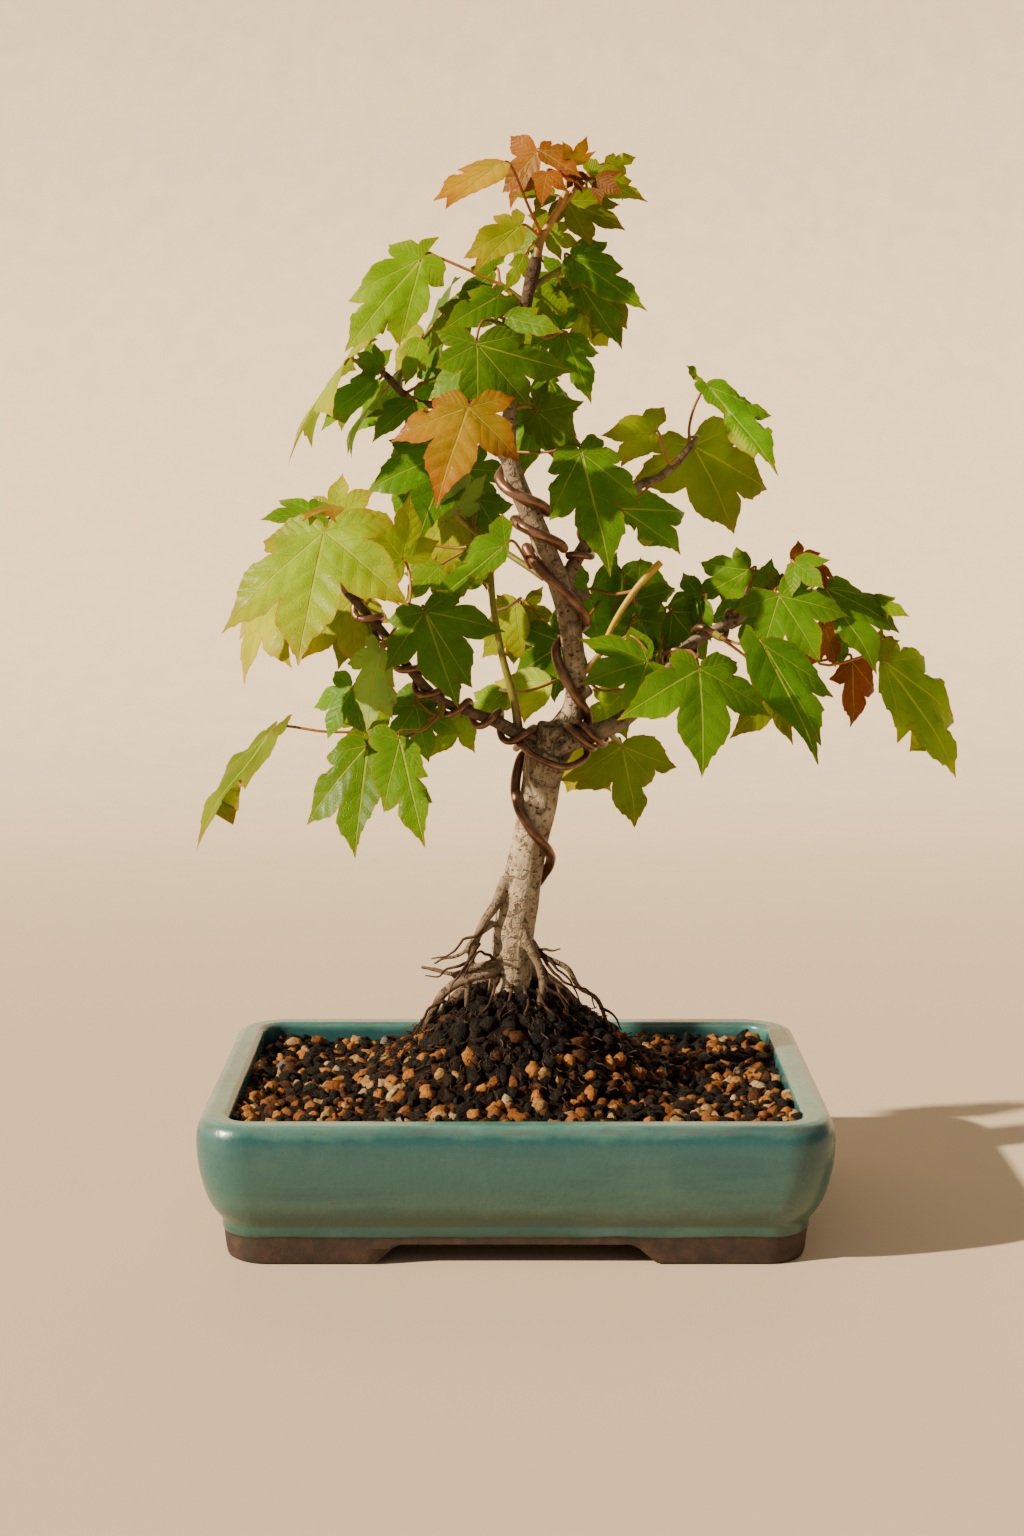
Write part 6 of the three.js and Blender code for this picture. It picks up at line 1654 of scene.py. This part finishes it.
def add_blade(shell, kind, plane, tips, chance):
    origin, along, side, normal, length = plane
    outline, notches = blade_outline(length, tips, chance)
    flat, triangles = blade_net(outline, tips, notches)
    folds = [-181] + [math.degrees(math.atan2(y, x)) for x, y in notches] + [181]
    angles = np.degrees(np.arctan2(flat[:, 1], flat[:, 0]))
    lobes = np.clip(np.searchsorted(folds, angles) - 1, 0, len(tips) - 1)
    turns = np.radians([tip[0] for tip in tips])[lobes]
    reaches = np.array([tip[1] for tip in tips])[lobes]
    s = flat[:, 0] * np.cos(turns) + flat[:, 1] * np.sin(turns)
    t = flat[:, 1] * np.cos(turns) - flat[:, 0] * np.sin(turns)
    share = np.hypot(*flat.T) / reaches

    curl = chance.uniform(0.1, 0.5)
    soft = FLAT_MIDDLE * length
    height = VEIN_FOLD * (np.sqrt(t ** 2 + soft ** 2) - soft) - BLADE_DROOP * flat[:, 1] ** 2 / length
    height -= curl * reaches * np.clip(share - 0.5, 0, 1) ** 2
    seed = Vector(chance.uniform(-50, 50, 3))
    waves = [noise.noise(seed + Vector((x, y, 0)) * WAVE_COUNT / length) for x, y in flat]
    height += WAVE_HEIGHT * length * np.array(waves) * np.clip(share * 1.6, 0, 1)
    along_side = s / reaches - 0.8 * np.abs(t / reaches)
    quilt = np.abs(np.sin(math.pi * (along_side / VEIN_SPACING + 0.5 * (t < 0))))
    puff = QUILTED.get(kind, PLAIN_QUILT) * length
    height += puff * quilt * np.clip(np.abs(t) / (0.06 * length), 0, 1)

    apart = np.hypot(flat[:, 0, None] - outline[None, :, 0], flat[:, 1, None] - outline[None, :, 1])
    edge = apart.min(axis=1)
    rim = np.clip(1 - edge / RIM_WIDTH, 0, 1)
    half = BLADE_THICKNESS / 2 * (1 - RIM_THINNING * rim)
    middle_colour, rim_colour, _ = (np.array(colour) for colour in KINDS[kind])
    shade = chance.uniform(0.82, 1.18) * np.array((chance.uniform(0.9, 1.1), 1, 1))
    blush = np.clip(0.75 * share ** 3 + 0.25 * rim, 0, 1)[:, None]
    tints = (middle_colour * (1 - blush) + rim_colour * blush) * shade
    base = np.array(origin) + flat[:, :1] * np.array(along) + flat[:, 1:] * np.array(side)
    upper = base + (height + half)[:, None] * np.array(normal)
    lower = base + (height - half)[:, None] * np.array(normal)

    count = len(flat)
    borders = {ends: True for a, b, c in triangles for ends in ((a, b), (b, c), (c, a))}
    rim_faces = [(b, a, a + count, b + count) for a, b in borders if (b, a) not in borders]
    faces = triangles + [(c + count, b + count, a + count) for a, b, c in triangles] + rim_faces
    top, under = (1, 0) if kind == "pale" else (0, 1)
    kinds = [top] * len(triangles) + [under] * len(triangles) + [top] * len(rim_faces)
    places = []
    for face in faces:
        own = [v % count for v in face]
        lobe = int(np.bincount(lobes[own]).argmax())
        turn, reach = math.radians(tips[lobe][0]), tips[lobe][1]
        x, y = flat[own, 0], flat[own, 1]
        u = (x * math.cos(turn) + y * math.sin(turn)) / reach
        v = (y * math.cos(turn) - x * math.sin(turn)) / reach
        places.append(list(zip(u, v)))
    shell.add(np.vstack([upper, lower]), np.vstack([tints, tints]), np.tile(rim, 2), faces, kinds, places)


def add_rod(shell, centres, radii, colours, sides):
    """A round rod along a course, closed at both ends."""
    points, faces = tube(rod(centres, radii, (0.31, 0.2, 0.93)), sides)
    tints = np.repeat(colours, sides, axis=0)
    places = [[(0.0, 0.0)] * len(face) for face in faces]
    shell.add(points, tints, [0.0] * len(points), faces, [2] * len(faces), places)


def add_stalk(shell, kind, plane, stalk, chance):
    origin, along, _, normal, length = plane
    start = origin + along * 0.05 * length - normal * 0.0003
    bend = origin - along * (STALK_JOINT * length + STALK_BEND) - normal * STALK_BEND * 0.5
    low = [seen_at(*row) for row in stalk[::-1]]
    course = smooth_course([start, origin - normal * 0.0004, bend, *low], 5)
    share = np.linspace(0, 1, len(course))
    radii = STALK_RADIUS * (1 + 0.45 * np.exp(-share * 14) + 0.5 * np.exp((share - 1) * 16))
    radii[0] = STALK_RADIUS * 0.4
    middle, _, colour = (np.array(colour) for colour in KINDS[kind])
    colour = colour * chance.uniform(0.8, 1.2)
    add_rod(shell, course, radii, colour + (middle - colour) * np.exp(-share * 9)[:, None] * 0.7, 8)


def leaf_finish(name, under):
    """A leaf's face. Lobe coordinates run from the joint, at 0, along the middle vein, to the tip."""
    graph, place = new_finish(name)
    tint = graph.attribute("tint", "Color")
    lobe = graph.add("ShaderNodeUVMap", uv_map="lobe").outputs[0]
    u, v = graph.part(lobe, "X"), graph.part(lobe, "Y")
    across = graph.math("ABSOLUTE", v)
    width = graph.scaled(u, -0.007, 0.0105)
    main_vein = graph.between(graph.math("DIVIDE", across, width), 0.6, 1.5, 1.0, 0.0)
    bent = graph.scaled(graph.times(across, across), -1.2, graph.scaled(across, -0.8, u))
    other_side = graph.times(graph.math("LESS_THAN", v, 0.0), 0.5)
    phase = graph.plus(graph.math("DIVIDE", bent, VEIN_SPACING), other_side)
    from_line = graph.math("ABSOLUTE", graph.minus(graph.math("FRACT", phase), 0.5))
    fading = graph.between(across, 0.26, 0.05, 0.0, 1.0)
    side_vein = graph.times(graph.between(from_line, 0.472, 0.494), fading)
    cells = graph.add("ShaderNodeTexVoronoi", {"Vector": lobe, "Scale": 34.0}, feature="DISTANCE_TO_EDGE")
    net = graph.between(cells.outputs["Distance"], 0.03, 0.12, 1.0, 0.0)
    cloud = graph.noise(place, 55.0, 3.0)
    fine = graph.noise(place, 420.0, 3.0)

    # Painted light and shade: lit and shaded copies of the leaf's colour, laid in soft patches over its
    # face.
    shaded, lit = (graph.mix(1.0, tint, shade, "MULTIPLY") for shade in (LEAF_SHADE, LEAF_LIGHT))
    painted_light_and_shade = graph.mix(graph.between(cloud, 0.3, 0.7), shaded, lit)
    face = graph.mix(graph.times(net, 0.12), painted_light_and_shade, graph.mix(0.5, tint, LEAF_NET))
    vein_colour = graph.mix(0.6, tint, LEAF_VEIN)
    if under:
        face = graph.mix(0.35, face, UNDER_FACE)
        vein_colour = graph.mix(0.5, face, UNDER_VEIN)
    veins = graph.math("MAXIMUM", main_vein, graph.times(side_vein, 0.42))
    veined = graph.mix(graph.times(veins, 0.8), face, vein_colour)
    margin = graph.times(graph.math("POWER", graph.attribute("rim"), 5.0), 0.6)
    edged = graph.mix(margin, veined, graph.mix(0.65, tint, LEAF_RIM))
    sink = 1.0 if under else -1.0
    relief = graph.times(graph.math("MAXIMUM", main_vein, graph.times(side_vein, 0.6)), sink)
    relief = graph.scaled(net, 0.18 * sink, relief)
    relief = graph.scaled(graph.between(from_line, 0.1, 0.5), 0.3 * sink, relief)
    normal = graph.bump(graph.scaled(fine, 0.12, relief), 0.00032)
    graph.coat({"Base Color": edged, "Roughness": graph.scaled(fine, 0.2, 0.48 if under else 0.24),
                "Specular IOR Level": 0.13 if under else 0.16, "Normal": normal})
    glow_colour = graph.mix(1.0, edged, GLOW_TINT, "MULTIPLY")
    glow = graph.add("ShaderNodeBsdfTranslucent", {"Color": glow_colour, "Normal": normal})
    both = graph.add("ShaderNodeMixShader", {0: LEAF_GLOW, 1: graph.gloss.outputs[0], 2: glow.outputs[0]})
    graph.feed(graph.output.inputs["Surface"], both.outputs[0])
    return graph.material


def stalk_finish():
    graph, place = new_finish("leaf_stalk")
    tint = graph.attribute("tint", "Color")
    fine = graph.noise(place, 500.0, 3.0)
    shaded = graph.mix(1.0, tint, (0.75, 0.75, 0.75, 1), "MULTIPLY")
    return graph.coat({"Base Color": graph.mix(graph.between(fine, 0.35, 0.7), shaded, tint),
                       "Roughness": 0.42, "Normal": graph.bump(fine, 0.0001)})


def add_leaf(shell, chance, kind, stalk, joint, tip, lobes=(), roll=0, small=False):
    plane = blade_plane(joint, tip, roll)
    plain = [(angle, share * plane[4]) for angle, share in (SMALL_LOBES if small else PLAIN_LOBES)]
    tips = sorted([*([lobe_in_plane(plane, pixel) for pixel in lobes] or plain), (0, plane[4])])
    add_blade(shell, kind, plane, tips, chance)
    add_stalk(shell, kind, plane, stalk, chance)


def add_shoot(name, stems, leaves, stem_tint, nodes, seed):
    chance = np.random.default_rng(seed)
    shell = Shell()
    for stem in stems:
        course, radii = course_of(stem, 8)
        turned = np.clip(np.linspace(0, 1, len(course))[:, None] * 2.5, 0, 1)
        colours = np.array(STEM_BROWN) * (1 - turned) + np.array(stem_tint) * turned
        add_rod(shell, course, radii, colours, 12)
    for leaf in leaves:
        add_leaf(shell, chance, *leaf)
    low, high = (np.array(corner) for corner in CAD_BOX)
    points = np.clip(shell.points, low + SHELL_MARGIN, high - SHELL_MARGIN)
    shoot = new_piece(name, points, shell.faces, LEAF_FINISHES)
    shoot.data.polygons.foreach_set("material_index", shell.kinds)
    shoot.data.uv_layers.new(name="lobe").data.foreach_set("uv", np.ravel(shell.places))
    tints = shoot.data.attributes.new("tint", "FLOAT_COLOR", "POINT")
    tints.data.foreach_set("color", np.ravel(shell.tints))
    rims = shoot.data.attributes.new("rim", "FLOAT", "POINT")
    rims.data.foreach_set("value", np.array(shell.rims))
    shoot.data.set_sharp_from_angle(angle=math.radians(SHARP_ANGLE))
    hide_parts(*nodes)
    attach(shoot, "root")


LEAF_FINISHES = [leaf_finish("leaf_upper", False), leaf_finish("leaf_under", True), stalk_finish()]
for seed, (name, (stems, leaves)) in enumerate(SHOOTS.items()):
    nodes = [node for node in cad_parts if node.rstrip("_0123456789") == name]
    add_shoot(f"{name}_shoot", stems, leaves, STEM_TINTS.get(name, STEM_GREEN), nodes, seed)
